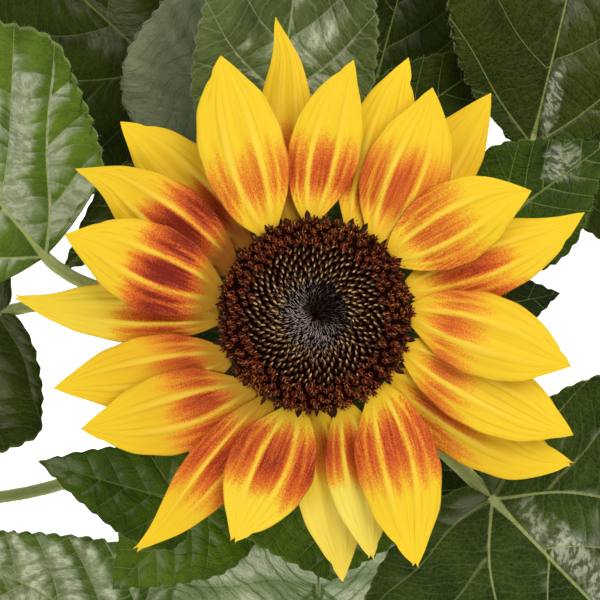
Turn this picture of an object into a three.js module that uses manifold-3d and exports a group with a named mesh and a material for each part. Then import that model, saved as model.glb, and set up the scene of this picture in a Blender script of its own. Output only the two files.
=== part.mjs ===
// A dwarf two-coloured sunflower plant in bloom, rooted in level ground. One bloom faces straight up on a
// leaning stem, with its leaves on stalks below it. Millimetres, +Z up, origin at the middle of the stem's
// foot.
import * as THREE from "three";
import { mergeVertices } from "three/addons/utils/BufferGeometryUtils.js";
import Module from "manifold-3d";

const wasm = await Module();
wasm.setup();

// Driving dimensions of the whole plant
const BLOOM_HEIGHT = 330; // from the ground to the rim of the seed disc
const BLOOM_OFFSET = new THREE.Vector2(10, -7); // the stem's lean: how far the bloom stands from the foot
const JOINT_GAP = 0.3; // clear space between two pieces that meet
const RIM_RADIUS = 24.6; // the green rim that the rays stand on

// Stem: radius against the share of its height, with the root flare at the bottom and the neck at the top
const STEM_SIDES = 12;
const STEM_RADII = [
  [0, 9.4],
  [0.02, 8.4],
  [0.06, 7.1],
  [0.15, 6.5],
  [0.35, 6.1],
  [0.6, 5.5],
  [0.85, 4.7],
  [0.95, 4.9],
  [1, 5.8],
];
const STEM_STEPS = [0, 0.02, 0.06, 0.15, 0.25, 0.35, 0.45, 0.55, 0.65, 0.75, 0.85, 0.92, 0.97, 1];
const STEM_WANDER = 1.3; // how far the stem swings to either side at its leaf roots
const STEM_SWINGS = 6; // how often it crosses its own middle line

// Seed disc: height of the floret bed over the rim, against radius
const DISC_PROFILE = [
  [0, -1.4],
  [4, -0.7],
  [9, 1.8],
  [14, 3.9],
  [18.5, 4.4],
  [22, 3.4],
  [24.2, 1.2],
];
const DISC_BOTTOM = -2.7;
const DISC_SIDES = 32;
const GOLDEN_ANGLE = THREE.MathUtils.degToRad(137.508);
const OPEN_FLORETS = 46;
const FLORET_BAND = [17.5, 24.2]; // radii between which the florets are open
const FLORET_RADIUS = 1.25;
const FLORET_HEIGHT = 3.4;
const FLORET_SIDES = 5;
const FLORET_SINK = 0.9; // depth of a floret's foot in the disc
const FLORET_INSET = 0.4; // how far that foot stands inside its place on the spiral
const FLORET_LEAN = 10; // degrees outwards

// Cup under the disc: radius and height below the rim
const CUP_PROFILE = [
  [RIM_RADIUS, -3],
  [RIM_RADIUS, -12],
  [22.6, -15],
  [16, -20],
  [8.8, -23.5],
  [6.3, -26.5],
];
const CUP_SIDES = 32;
// Bracts stand in rows on the cup: each row's foot and tip by radius and depth under the rim, and the
// bearing of its first bract
const BRACTS_IN_ROW = 8;
const BRACT_ROWS = [
  { foot: 22.5, drop: 13.2, reach: 46, tipDrop: 17.5, turn: 4 },
  { foot: 20.5, drop: 15.4, reach: 43, tipDrop: 22, turn: 26 },
  { foot: 17.5, drop: 17.8, reach: 36, tipDrop: 29, turn: 15 },
];
const BRACT_WIDTH = 12.5;
const BRACT_THICKNESS = 0.9;
const BRACT_CURL = 1.6; // power by which a bract's fall grows towards its tip
const BRACT_HOLLOW = 0.9; // how far its sides stand up at the foot
// Half width of a bract as a share of its greatest, against the share of its length
const BRACT_OUTLINE = [
  [0, 0.85],
  [0.35, 1],
  [0.72, 0.5],
  [1, 0.03],
];

// Rays: bearings in degrees anticlockwise from +X round the disc's middle. A higher tier stands over its
// neighbours, and a positive roll lifts the clockwise edge of a ray over the next one.
const RAYS = [
  { foot: 104, tip: 95, reach: 79, width: 15, tier: 0, roll: 0 },
  { foot: 92, tip: 82, reach: 67.5, width: 19, tier: 1.9, roll: 0 },
  { foot: 67, tip: 71, reach: 72, width: 18.5, tier: 1, roll: 0 },
  { foot: 51, tip: 62, reach: 67, width: 23, tier: 2, roll: -5 },
  { foot: 45, tip: 51.5, reach: 75, width: 19, tier: 0, roll: 0 },
  { foot: 36, tip: 31.5, reach: 65, width: 22, tier: 3, roll: -3 },
  { foot: 15, tip: 19, reach: 76, width: 19.5, tier: 1, roll: 5 },
  { foot: 0, tip: -12, reach: 68, width: 22, tier: 2, roll: 0 },
  { foot: -21, tip: -26, reach: 75, width: 21, tier: 1, roll: 6 },
  { foot: -39, tip: -33, reach: 80, width: 20, tier: 0, roll: 2 },
  { foot: -51, tip: -69, reach: 71, width: 22, tier: 2, roll: 0 },
  { foot: -72, tip: -77, reach: 66.5, width: 17, tier: 1, roll: 5 },
  { foot: -89, tip: -83, reach: 71, width: 17.5, tier: 0, roll: 0 },
  { foot: -102, tip: -110, reach: 63, width: 23, tier: 2.6, roll: 4 },
  { foot: -119, tip: -126, reach: 78, width: 16, tier: 1.8, roll: 8 },
  { foot: -133, tip: -154, reach: 68.5, width: 22, tier: 1.2, roll: 6 },
  { foot: -155, tip: -165, reach: 71.5, width: 19.5, tier: 0.6, roll: 6 },
  { foot: 181, tip: 178, reach: 80.5, width: 16, tier: 0, roll: 0 },
  { foot: 168, tip: 160.5, reach: 68.5, width: 23, tier: 2, roll: 0 },
  { foot: 150, tip: 145.5, reach: 73.5, width: 21, tier: 1, roll: 6 },
  { foot: 133, tip: 134.5, reach: 72.5, width: 19, tier: 0, roll: 0 },
  { foot: 119, tip: 110, reach: 72, width: 22.5, tier: 2.3, roll: 0 },
];
const RAY_LOWEST = -10.8; // the lowest tier's foot below the rim of the disc
const TIER_RISE = 2.3;
const TIER_TILT = 3.4; // degrees that each tier tilts more than the one below it
const LOWEST_TILT = -2; // degrees
const RAY_ARCH = 0.05; // how far a ray's tip bends down, as a share of its length
const RAY_CROWN = 1.1; // how far the edges of a ray hang below its middle
const RAY_THICKNESS = 0.85;
// Half width of a ray as a share of its greatest, against the share of its length
const RAY_OUTLINE = [
  [0, 0.22],
  [0.1, 0.54],
  [0.25, 0.84],
  [0.42, 1],
  [0.6, 0.95],
  [0.78, 0.68],
  [0.91, 0.32],
  [1, 0.03],
];
const RAY_STRIPS = 4; // strips across a ray
const RAY_GAP = 0.35; // clear space between a ray's foot and the rim
const RAY_LEAD = 0.35; // how much a ray starts straight out from the rim instead of towards its tip
const RAY_TURN_SHARE = 0.25; // share of its length in which a ray's rows turn square to its midline
const RAY_ROLL_SHARE = 0.5; // share of its length in which its roll grows to the full

// Leaves: at gives the foot of a blade as its bearing round the bloom, its reach from the bloom's middle and
// its drop under the disc's rim. Root is the height of the stalk's foot on the stem, and swing turns the
// stalk's start away from the blade's bearing. Heading is where the blade points and pitch how far it points
// up. Size is its length and width, and lobe how far a heart-shaped foot runs back. A small leaf is one piece
// with its own short stalk.
const LEAVES = [
  { at: [168, 75, 34], root: 258, heading: 130, pitch: -4, size: [92, 80], form: "broad" },
  { at: [180, 90, 70], root: 216, heading: 198, pitch: -10, size: [100, 76], lobe: 0.3 },
  { at: [122, 82, 78], root: 208, heading: 137, pitch: -8, size: [118, 88], lobe: 0.8 },
  { at: [113, 62, 54], root: 240, heading: 85, pitch: -6, size: [54, 60], lobe: 0.8 },
  { at: [99, 60, 36], root: 266, heading: 82, pitch: -4, size: [84, 50], lobe: 0.7 },
  { at: [75, 65, 64], root: 229, heading: 75, pitch: -8, size: [66, 41], lobe: 0.5 },
  { at: [67, 56, 47], root: 251, heading: 35, pitch: -6, size: [42, 28], lobe: 0.4, small: true },
  { at: [38, 76, 44], root: 245, heading: 76, pitch: -2, size: [118, 72], form: "ovate" },
  { at: [33, 82, 72], root: 220, heading: 38, pitch: -8, size: [105, 66], lobe: 0.3 },
  { at: [27, 58, 24], root: 274, heading: 36, pitch: -4, size: [35, 36], lobe: 0.5, small: true },
  { at: [-4, 34, 130], root: 172, heading: 11, pitch: -14, size: [48, 34], lobe: 0.4, small: true },
  { at: [-46, 70, 36], root: 260, swing: -6, heading: -46, pitch: -6, size: [112, 98], lobe: 0.4 },
  { at: [-89, 78, 72], root: 216, heading: -90, pitch: -8, size: [100, 84], lobe: 0.9 },
  { at: [-85, 38, 45], root: 266, heading: -88, pitch: -8, size: [38, 54], form: "ovate", small: true },
  { at: [-126, 63, 36], root: 270, heading: 165, pitch: -4, size: [41, 28], lobe: 0.5 },
  { at: [-120, 60, 56], root: 246, heading: 224, pitch: -8, size: [39, 38], lobe: 0.8 },
  { at: [-116, 110, 95], root: 190, swing: 14, heading: 154, pitch: -10, size: [78, 52], lobe: 1.1 },
  { at: [-155, 128, 106], root: 180, swing: 34, heading: 168, pitch: -10, size: [92, 76], lobe: 0.5 },
  { at: [144, 56, 42], root: 273, heading: 220, pitch: -8, size: [33, 22], lobe: 0.4, small: true },
  { at: [-58, 46, 56], root: 243, heading: -46, pitch: -10, size: [42, 34], lobe: 0.4, small: true },
];
const LEAF_THICKNESS = 0.012; // share of the blade's length
// Half outlines of a blade 1 long and 1 wide, from the inside of its foot to the tip
const LEAF_FORMS = {
  heart: [
    [-0.13, 0.06],
    [-0.25, 0.2],
    [-0.2, 0.38],
    [0, 0.49],
    [0.26, 0.48],
    [0.5, 0.36],
    [0.76, 0.19],
    [1, 0],
  ],
  broad: [
    [0.02, 0.05],
    [0.045, 0.2],
    [0.07, 0.33],
    [0.16, 0.4],
    [0.34, 0.47],
    [0.48, 0.5],
    [0.62, 0.41],
    [0.82, 0.19],
    [1, 0],
  ],
  ovate: [
    [0, 0.08],
    [0.07, 0.25],
    [0.2, 0.4],
    [0.42, 0.49],
    [0.64, 0.41],
    [0.84, 0.2],
    [1, 0],
  ],
};
const LEAF_HALF_POINTS = 10; // margin steps on each side of the blade
const LEAF_RINGS = [0, 0.45, 0.8, 1];
const LEAF_TOOTH = 0.035; // how far the teeth stand out and the notches cut in
const LEAF_FOLD = 0.16; // slope of the blade's sides up from the midrib
const LEAF_FOLD_ROUND = 5; // half width of the round bottom of that fold
const LEAF_DROOP = 0.16; // how far the tip bends down, as a share of the length
const LEAF_RIPPLE = 0.022; // height of the margin's waves, as a share of the length
const LEAF_WAVES = 4; // waves round the blade
const LEAF_CALM = 0.4; // share of the length round the foot of a blade where the waves fade out
const STALK_GAP = 0.45; // clear space between a stalk's end and the blade over it
const STALK_RADIUS = 1.5; // of a stalk without a blade
const STALK_RADIUS_GAIN = 0.009; // added for each millimetre of the blade's length
const STALK_TAPER = 0.72; // radius at the blade as a share of that at the stem
const STALK_RISE_SHARE = 0.34; // share of its span in which a stalk leaves the stem, and later levels out
const STALK_CLIMB_SHARE = 0.62; // share of its rise that it gains as it leaves the stem
const STALK_SINK = 3.3; // how far the stalk of a small leaf runs on into its blade
const STALK_STEPS = 6;
const STALK_SIDES = 6;

const JOIN_DISTANCE = 1e-3; // points closer than this are one point
const SLIVER = 0.06; // a cut or joined solid loses the details that are thinner than this

const material = (color, roughness) => new THREE.MeshStandardMaterial({ color, roughness, metalness: 0 });
const STEM_GREEN = material(0x7f9a4a, 0.7);
const CUP_GREEN = material(0x5d8038, 0.7);
const DISC_BROWN = material(0x2a140e, 0.85);
const RAY_YELLOW = material(0xf0b41c, 0.55);
const LEAF_GREEN = material(0x3c5f22, 0.5);
const UPPER_LEAF_GREEN = material(0x33551f, 0.45);
const STALK_GREEN = material(0x8aa355, 0.65);

const UP = new THREE.Vector3(0, 0, 1);
const plant = new THREE.Group();

function addPiece(name, geometry, finish) {
  const mesh = new THREE.Mesh(geometry, finish);
  mesh.name = name;
  plant.add(mesh);
}

// Value at x of a short table of [x, value] rows, straight between rows
function tableValue(table, x) {
  const next = table.findIndex((row) => row[0] >= x);
  if (next <= 0) return table[Math.max(next, 0)][1];
  const [x0, low] = table[next - 1];
  const [x1, high] = table[next];
  return THREE.MathUtils.mapLinear(x, x0, x1, low, high);
}

function onBearing(bearing, reach, height) {
  const angle = THREE.MathUtils.degToRad(bearing);
  return new THREE.Vector3(
    BLOOM_OFFSET.x + reach * Math.cos(angle),
    BLOOM_OFFSET.y + reach * Math.sin(angle),
    BLOOM_HEIGHT + height,
  );
}

// A closed geometry from points and triangles: points that coincide are joined, triangles that this flattens
// are dropped, and the faces are turned outwards.
function closedGeometry(points, triangles) {
  const loose = new THREE.BufferGeometry().setFromPoints(points);
  loose.setIndex(triangles.flat());
  const joined = mergeVertices(loose, JOIN_DISTANCE);
  const corners = joined.index.array;
  const at = (i) => new THREE.Vector3().fromBufferAttribute(joined.attributes.position, i);
  const kept = [];
  let volume = 0;
  for (let i = 0; i < corners.length; i += 3) {
    const [a, b, c] = corners.slice(i, i + 3);
    if (a === b || b === c || c === a) continue;
    kept.push([a, b, c]);
    volume += at(a).dot(at(b).cross(at(c)));
  }
  joined.setIndex((volume < 0 ? kept.map(([a, b, c]) => [a, c, b]) : kept).flat());
  return joined;
}

// A thin closed plate between two grids of points, rows by columns
function plate(top, bottom) {
  const rows = top.length;
  const columns = top[0].length;
  const under = rows * columns;
  const at = (row, column) => row * columns + column;
  const triangles = [];
  const quad = (a, b, c, d) => triangles.push([a, b, c], [a, c, d]);
  for (let row = 0; row < rows - 1; row++)
    for (let column = 0; column < columns - 1; column++) {
      const [a, b] = [at(row, column), at(row, column + 1)];
      const [c, d] = [at(row + 1, column + 1), at(row + 1, column)];
      quad(a, b, c, d);
      quad(a + under, d + under, c + under, b + under);
    }
  const border = [];
  for (let column = 0; column < columns - 1; column++) border.push(at(0, column));
  for (let row = 0; row < rows - 1; row++) border.push(at(row, columns - 1));
  for (let column = columns - 1; column > 0; column--) border.push(at(rows - 1, column));
  for (let row = rows - 1; row > 0; row--) border.push(at(row, 0));
  border.forEach((a, i) => {
    const b = border[(i + 1) % border.length];
    quad(b, a, a + under, b + under);
  });
  return closedGeometry([...top.flat(), ...bottom.flat()], triangles);
}

// A closed limb through a list of rings with the same number of points
function loft(rings) {
  const sides = rings[0].length;
  const points = rings.flat();
  const triangles = [];
  for (let ring = 0; ring < rings.length - 1; ring++)
    for (let side = 0; side < sides; side++) {
      const a = ring * sides + side;
      const b = ring * sides + ((side + 1) % sides);
      triangles.push([a, b, b + sides], [a, b + sides, a + sides]);
    }
  [0, rings.length - 1].forEach((ring, end) => {
    const middle = points.length;
    points.push(rings[ring].reduce((sum, p) => sum.add(p), new THREE.Vector3()).divideScalar(sides));
    for (let side = 0; side < sides; side++) {
      const a = ring * sides + side;
      const b = ring * sides + ((side + 1) % sides);
      triangles.push(end ? [a, b, middle] : [b, a, middle]);
    }
  });
  return closedGeometry(points, triangles);
}

function toSolid(geometry) {
  return new wasm.Manifold(
    new wasm.Mesh({
      numProp: 3,
      vertProperties: new Float32Array(geometry.attributes.position.array),
      triVerts: new Uint32Array(geometry.index.array),
    }),
  );
}

// Joins the seams of a three.js shape, such as a cone or a turned profile
function seamless(shape) {
  const place = shape.attributes.position;
  const at = (_, i) => new THREE.Vector3().fromBufferAttribute(place, i);
  const points = Array.from({ length: place.count }, at);
  return closedGeometry(points, Array.from(shape.index.array));
}

function toGeometry(solid) {
  const { vertProperties, triVerts } = solid.asOriginal().simplify(SLIVER).getMesh();
  const geometry = new THREE.BufferGeometry();
  geometry.setAttribute("position", new THREE.BufferAttribute(vertProperties, 3));
  return geometry.setIndex(new THREE.BufferAttribute(triVerts, 1));
}

// A profile of [radius, height over the disc's rim] rows turned round the bloom's axis
function turned(profile, sides) {
  const outline = profile.map(([radius, height]) => new THREE.Vector2(radius, height));
  const geometry = new THREE.LatheGeometry(outline, sides);
  geometry.rotateX(Math.PI / 2);
  return seamless(geometry.translate(BLOOM_OFFSET.x, BLOOM_OFFSET.y, BLOOM_HEIGHT));
}

// Middle of the stem at a height above the ground
const STEM_TOP = BLOOM_HEIGHT + CUP_PROFILE.at(-1)[1] - JOINT_GAP;

function stemMiddle(height) {
  const share = height / STEM_TOP;
  const lean = THREE.MathUtils.smoothstep(share, 0, 1);
  const wander = STEM_WANDER * Math.sin(Math.PI * share) * Math.sin(Math.PI * STEM_SWINGS * share);
  return new THREE.Vector3(BLOOM_OFFSET.x * lean + wander, BLOOM_OFFSET.y * lean - wander, height);
}

// The stem, or the space that its neighbours keep clear of when extra is more than 0
function stemGeometry(extra) {
  const rings = STEM_STEPS.map((share) => {
    const middle = stemMiddle(share * STEM_TOP);
    const radius = tableValue(STEM_RADII, share) + extra;
    return Array.from({ length: STEM_SIDES }, (_, side) => {
      const angle = (2 * Math.PI * side) / STEM_SIDES;
      return middle.clone().add(new THREE.Vector3(radius * Math.cos(angle), radius * Math.sin(angle), 0));
    });
  });
  return loft(rings);
}

// Seed disc: a dome with a sunken middle, and a band of open florets round it on a sunflower's spiral
function seedDisc() {
  const outline = [[0, DISC_BOTTOM], [DISC_PROFILE.at(-1)[0], DISC_BOTTOM], ...[...DISC_PROFILE].reverse()];
  let disc = toSolid(turned(outline, DISC_SIDES));
  const [inner, outer] = FLORET_BAND;
  for (let i = 0; i < OPEN_FLORETS; i++) {
    const radius = Math.sqrt(THREE.MathUtils.lerp(inner ** 2, outer ** 2, (i + 0.5) / OPEN_FLORETS));
    const angle = i * GOLDEN_ANGLE;
    const floret = new THREE.ConeGeometry(FLORET_RADIUS, FLORET_HEIGHT, FLORET_SIDES);
    floret.translate(0, FLORET_HEIGHT / 2 - FLORET_SINK, 0).rotateX(Math.PI / 2);
    floret.rotateY(THREE.MathUtils.degToRad(FLORET_LEAN)).rotateZ(angle);
    const height = tableValue(DISC_PROFILE, radius);
    const foot = onBearing(THREE.MathUtils.radToDeg(angle), radius - FLORET_INSET, height);
    disc = disc.add(toSolid(seamless(floret.translate(foot.x, foot.y, foot.z))));
  }
  return toGeometry(disc);
}

// One pointed green bract, rooted in the cup
function bract(row, bearing) {
  const side = THREE.MathUtils.degToRad(bearing + 90);
  const across = new THREE.Vector3(Math.cos(side), Math.sin(side), 0);
  const rows = (offset) =>
    BRACT_OUTLINE.map(([share, fullness]) =>
      [-1, 0, 1].map((edge) => {
        const reach = THREE.MathUtils.lerp(row.foot, row.reach, share);
        const drop = THREE.MathUtils.lerp(row.drop, row.tipDrop, share ** BRACT_CURL);
        const hollow = BRACT_HOLLOW * Math.abs(edge) * (1 - share);
        const middle = onBearing(bearing, reach, hollow - drop + offset);
        return middle.addScaledVector(across, (edge * fullness * BRACT_WIDTH) / 2);
      }),
    );
  return plate(rows(BRACT_THICKNESS / 2), rows(-BRACT_THICKNESS / 2));
}

function flowerCup() {
  const profile = [[0, CUP_PROFILE.at(-1)[1]], ...[...CUP_PROFILE].reverse(), [0, CUP_PROFILE[0][1]]];
  let cup = toSolid(turned(profile, CUP_SIDES));
  for (const row of BRACT_ROWS)
    for (let i = 0; i < BRACTS_IN_ROW; i++)
      cup = cup.add(toSolid(bract(row, row.turn + (360 * i) / BRACTS_IN_ROW)));
  return toGeometry(cup);
}

// One ray: a lance-shaped plate, arched along its length and crowned across it. Its foot lies square on the
// rim, and its midline leaves the rim between straight out and straight to its tip.
function ray({ foot, tip, reach, width, tier, roll }) {
  const height = RAY_LOWEST + tier * TIER_RISE;
  const start = onBearing(foot, RIM_RADIUS + RAY_GAP, height);
  const end = onBearing(tip, reach, height);
  const straight = end.clone().sub(start);
  const length = straight.length();
  const outward = onBearing(foot, 1, 0).sub(onBearing(foot, 0, 0));
  const bend = start.clone().addScaledVector(straight, (1 - RAY_LEAD) / 2);
  bend.addScaledVector(outward, (RAY_LEAD * length) / 2);
  const midline = new THREE.QuadraticBezierCurve3(start, bend, end);
  const square = new THREE.Vector3(-outward.y, outward.x, 0);
  const tilt = Math.tan(THREE.MathUtils.degToRad(LOWEST_TILT + tier * TIER_TILT));
  const lean = Math.tan(THREE.MathUtils.degToRad(roll));
  const rows = (offset) =>
    RAY_OUTLINE.map(([share, fullness]) => {
      const half = (fullness * width) / 2;
      const along = midline.getTangent(share);
      const turned = Math.min(1, share / RAY_TURN_SHARE);
      const left = square.clone().lerp(new THREE.Vector3(-along.y, along.x, 0), turned);
      const slope = lean * Math.min(1, share / RAY_ROLL_SHARE);
      const rise = length * (tilt * share - RAY_ARCH * share ** 2);
      return Array.from({ length: RAY_STRIPS + 1 }, (_, strip) => {
        const across = (2 * strip) / RAY_STRIPS - 1;
        const sag = RAY_CROWN * fullness ** 2 * across ** 2;
        const point = midline.getPoint(share).addScaledVector(left, across * half);
        point.z += rise - sag - slope * across * half + offset;
        return point;
      });
    });
  return plate(rows(RAY_THICKNESS / 2), rows(-RAY_THICKNESS / 2));
}

// Margin of a whole blade, from one foot lobe round the tip to the other, with its teeth
function leafMargin({ size: [length, width], form = "heart", lobe = 1 }) {
  const place = ([x, y]) => new THREE.Vector2((x < 0 ? x * lobe : x) * length, y * width);
  const outline = LEAF_FORMS[form].map(place);
  const half = new THREE.SplineCurve(outline).getSpacedPoints(LEAF_HALF_POINTS);
  const toothed = half.map((point, i) => {
    const swing = i === LEAF_HALF_POINTS ? 0 : i % 2 ? LEAF_TOOTH : -LEAF_TOOTH;
    return point.multiplyScalar(1 + swing);
  });
  const mirrored = toothed.slice(0, -1).map((point) => new THREE.Vector2(point.x, -point.y));
  return [...toothed, ...mirrored.reverse()];
}

// Height of a blade over the plane of its foot
function leafHeight(length, x, y, share, phase) {
  const fold = LEAF_FOLD * (Math.hypot(y, LEAF_FOLD_ROUND) - LEAF_FOLD_ROUND);
  const droop = (LEAF_DROOP * Math.max(x, 0) ** 2) / length;
  const calm = Math.min(1, Math.hypot(x, y) / (LEAF_CALM * length));
  const ripple = LEAF_RIPPLE * length * (share * calm) ** 2;
  return fold - droop + ripple * Math.sin(LEAF_WAVES * Math.atan2(y, x) + phase);
}

// Turns and moves a blade from its own plane to its place on the plant
function leafFrame({ at: [out, reach, drop], heading, pitch }) {
  const turn = new THREE.Euler(0, THREE.MathUtils.degToRad(-pitch), THREE.MathUtils.degToRad(heading), "ZYX");
  return new THREE.Matrix4().makeRotationFromEuler(turn).setPosition(onBearing(out, reach, -drop));
}

// One heart-shaped blade: spokes from its foot to the margin, open in a notch where the stalk comes in
function leafBlade(leaf, number) {
  const [length] = leaf.size;
  const frame = leafFrame(leaf);
  const spokes = (offset) =>
    leafMargin(leaf).map((edge) =>
      LEAF_RINGS.map((share) => {
        const [x, y] = [edge.x * share, edge.y * share];
        const z = leafHeight(length, x, y, share, number) + offset;
        return new THREE.Vector3(x, y, z).applyMatrix4(frame);
      }),
    );
  const half = (LEAF_THICKNESS * length) / 2;
  return plate(spokes(half), spokes(-half));
}

// One tapering stalk from inside the stem to just under the foot of its blade, then cut clear of the stem
function leafStalk(leaf, stemSpace) {
  const [length] = leaf.size;
  const footRadius = STALK_RADIUS + STALK_RADIUS_GAIN * length;
  const tipRadius = footRadius * STALK_TAPER;
  const frame = leafFrame(leaf);
  const ahead = new THREE.Vector3().setFromMatrixColumn(frame, 0);
  const upright = new THREE.Vector3().setFromMatrixColumn(frame, 2);
  const end = new THREE.Vector3().setFromMatrixPosition(frame);
  if (leaf.small) end.addScaledVector(ahead, STALK_SINK);
  else end.addScaledVector(upright, -tipRadius - (LEAF_THICKNESS * length) / 2 - STALK_GAP);
  const start = stemMiddle(leaf.root);
  const across = new THREE.Vector3(end.x - start.x, end.y - start.y, 0);
  const span = across.length();
  const leaving = across.setLength(STALK_RISE_SHARE * span);
  leaving.applyAxisAngle(UP, THREE.MathUtils.degToRad(leaf.swing ?? 0));
  leaving.z = STALK_CLIMB_SHARE * (end.z - start.z);
  const beforeEnd = end.clone().addScaledVector(ahead, -STALK_RISE_SHARE * span);
  const path = new THREE.CubicBezierCurve3(start, start.clone().add(leaving), beforeEnd, end);
  const frames = path.computeFrenetFrames(STALK_STEPS, false);
  const rings = path.getSpacedPoints(STALK_STEPS).map((middle, i) => {
    const radius = THREE.MathUtils.lerp(footRadius, tipRadius, i / STALK_STEPS);
    return Array.from({ length: STALK_SIDES }, (_, side) => {
      const angle = (2 * Math.PI * side) / STALK_SIDES;
      return middle
        .clone()
        .addScaledVector(frames.normals[i], radius * Math.cos(angle))
        .addScaledVector(frames.binormals[i], radius * Math.sin(angle));
    });
  });
  return toSolid(loft(rings)).subtract(stemSpace);
}

const twoDigits = (number) => String(number).padStart(2, "0");

addPiece("stem", stemGeometry(0), STEM_GREEN);
addPiece("flower_cup", flowerCup(), CUP_GREEN);
addPiece("seed_disc", seedDisc(), DISC_BROWN);
RAYS.forEach((row, i) => addPiece("ray_" + twoDigits(i + 1), ray(row), RAY_YELLOW));

const stemSpace = toSolid(stemGeometry(JOINT_GAP));
LEAVES.forEach((leaf, i) => {
  const number = i + 1;
  const blade = leafBlade(leaf, number);
  const stalk = leafStalk(leaf, stemSpace);
  if (leaf.small) {
    addPiece("leaf_" + twoDigits(number), toGeometry(stalk.add(toSolid(blade))), UPPER_LEAF_GREEN);
    return;
  }
  addPiece("leaf_stalk_" + twoDigits(number), toGeometry(stalk), STALK_GREEN);
  addPiece("leaf_" + twoDigits(number), blade, LEAF_GREEN);
});

export default plant;
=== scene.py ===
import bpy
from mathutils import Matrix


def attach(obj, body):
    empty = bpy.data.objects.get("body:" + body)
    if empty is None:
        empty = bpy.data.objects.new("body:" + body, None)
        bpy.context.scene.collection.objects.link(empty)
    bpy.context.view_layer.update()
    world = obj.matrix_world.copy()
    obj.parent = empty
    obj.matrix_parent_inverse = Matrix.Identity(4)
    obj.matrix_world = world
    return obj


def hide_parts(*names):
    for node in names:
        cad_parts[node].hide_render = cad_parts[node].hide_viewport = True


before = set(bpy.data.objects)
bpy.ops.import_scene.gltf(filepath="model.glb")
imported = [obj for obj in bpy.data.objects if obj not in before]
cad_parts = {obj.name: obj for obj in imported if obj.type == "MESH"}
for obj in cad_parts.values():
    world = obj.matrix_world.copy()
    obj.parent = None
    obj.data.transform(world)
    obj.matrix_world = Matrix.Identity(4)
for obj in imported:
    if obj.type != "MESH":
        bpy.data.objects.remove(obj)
"""A dwarf two-coloured sunflower in bloom, rooted in level ground.

Its bloom faces straight up on a leaning stem, and its leaves stand round it on stalks. Tables and shape rules
are in millimetres, bearings in degrees anticlockwise from +X, and the meshes that come from them in metres.
"""
import math

import bmesh
import bpy
import numpy as np
from bpy.props import FloatProperty, FloatVectorProperty, IntProperty, PointerProperty
from mathutils import Vector

bl_info = {
    "name": "Two-coloured sunflower plant",
    "version": (1, 0, 0),
    "blender": (4, 5, 0),
    "location": "3D View > Sidebar > Sunflower",
    "description": "Makes a rooted sunflower plant with one open bloom, piece by piece",
    "category": "Add Mesh",
}

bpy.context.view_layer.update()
MM = 0.001
TURN = 2 * math.pi

# Sizes that the solids share
BLOOM_HEIGHT = 330
BLOOM_OFFSET = np.array([10.0, -7.0])
RIM_RADIUS = 24.6
STEM_RADII = [(0, 9.4), (0.02, 8.4), (0.06, 7.1), (0.15, 6.5), (0.35, 6.1), (0.6, 5.5), (0.85, 4.7),
              (0.95, 4.9), (1, 5.8)]
STEM_TOP = BLOOM_HEIGHT - 26.5 - 0.3
STEM_WANDER = 1.3
STEM_SWINGS = 6
DISC_PROFILE = [(0, -1.4), (4, -0.7), (9, 1.8), (14, 3.9), (18.5, 4.4), (22, 3.4), (24.2, 1.2)]
DISC_BOTTOM = -2.7
CUP_PROFILE = [(23.4, -3), (24.4, -5.5), (24.6, -12), (22.6, -15), (16, -20), (8.8, -23.5), (6.3, -26.5)]
# Bracts: foot radius, its drop, tip radius, tip drop, bearing of the first one in the row
BRACT_ROWS = [(22.5, 13.2, 46, 17.5, 4), (20.5, 15.4, 43, 22, 26), (17.5, 17.8, 36, 29, 15)]
BRACTS_IN_ROW = 8
BRACT_WIDTH = 12.5
BRACT_OUTLINE = [(0, 0.85), (0.35, 1), (0.72, 0.5), (1, 0.03)]

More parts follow.
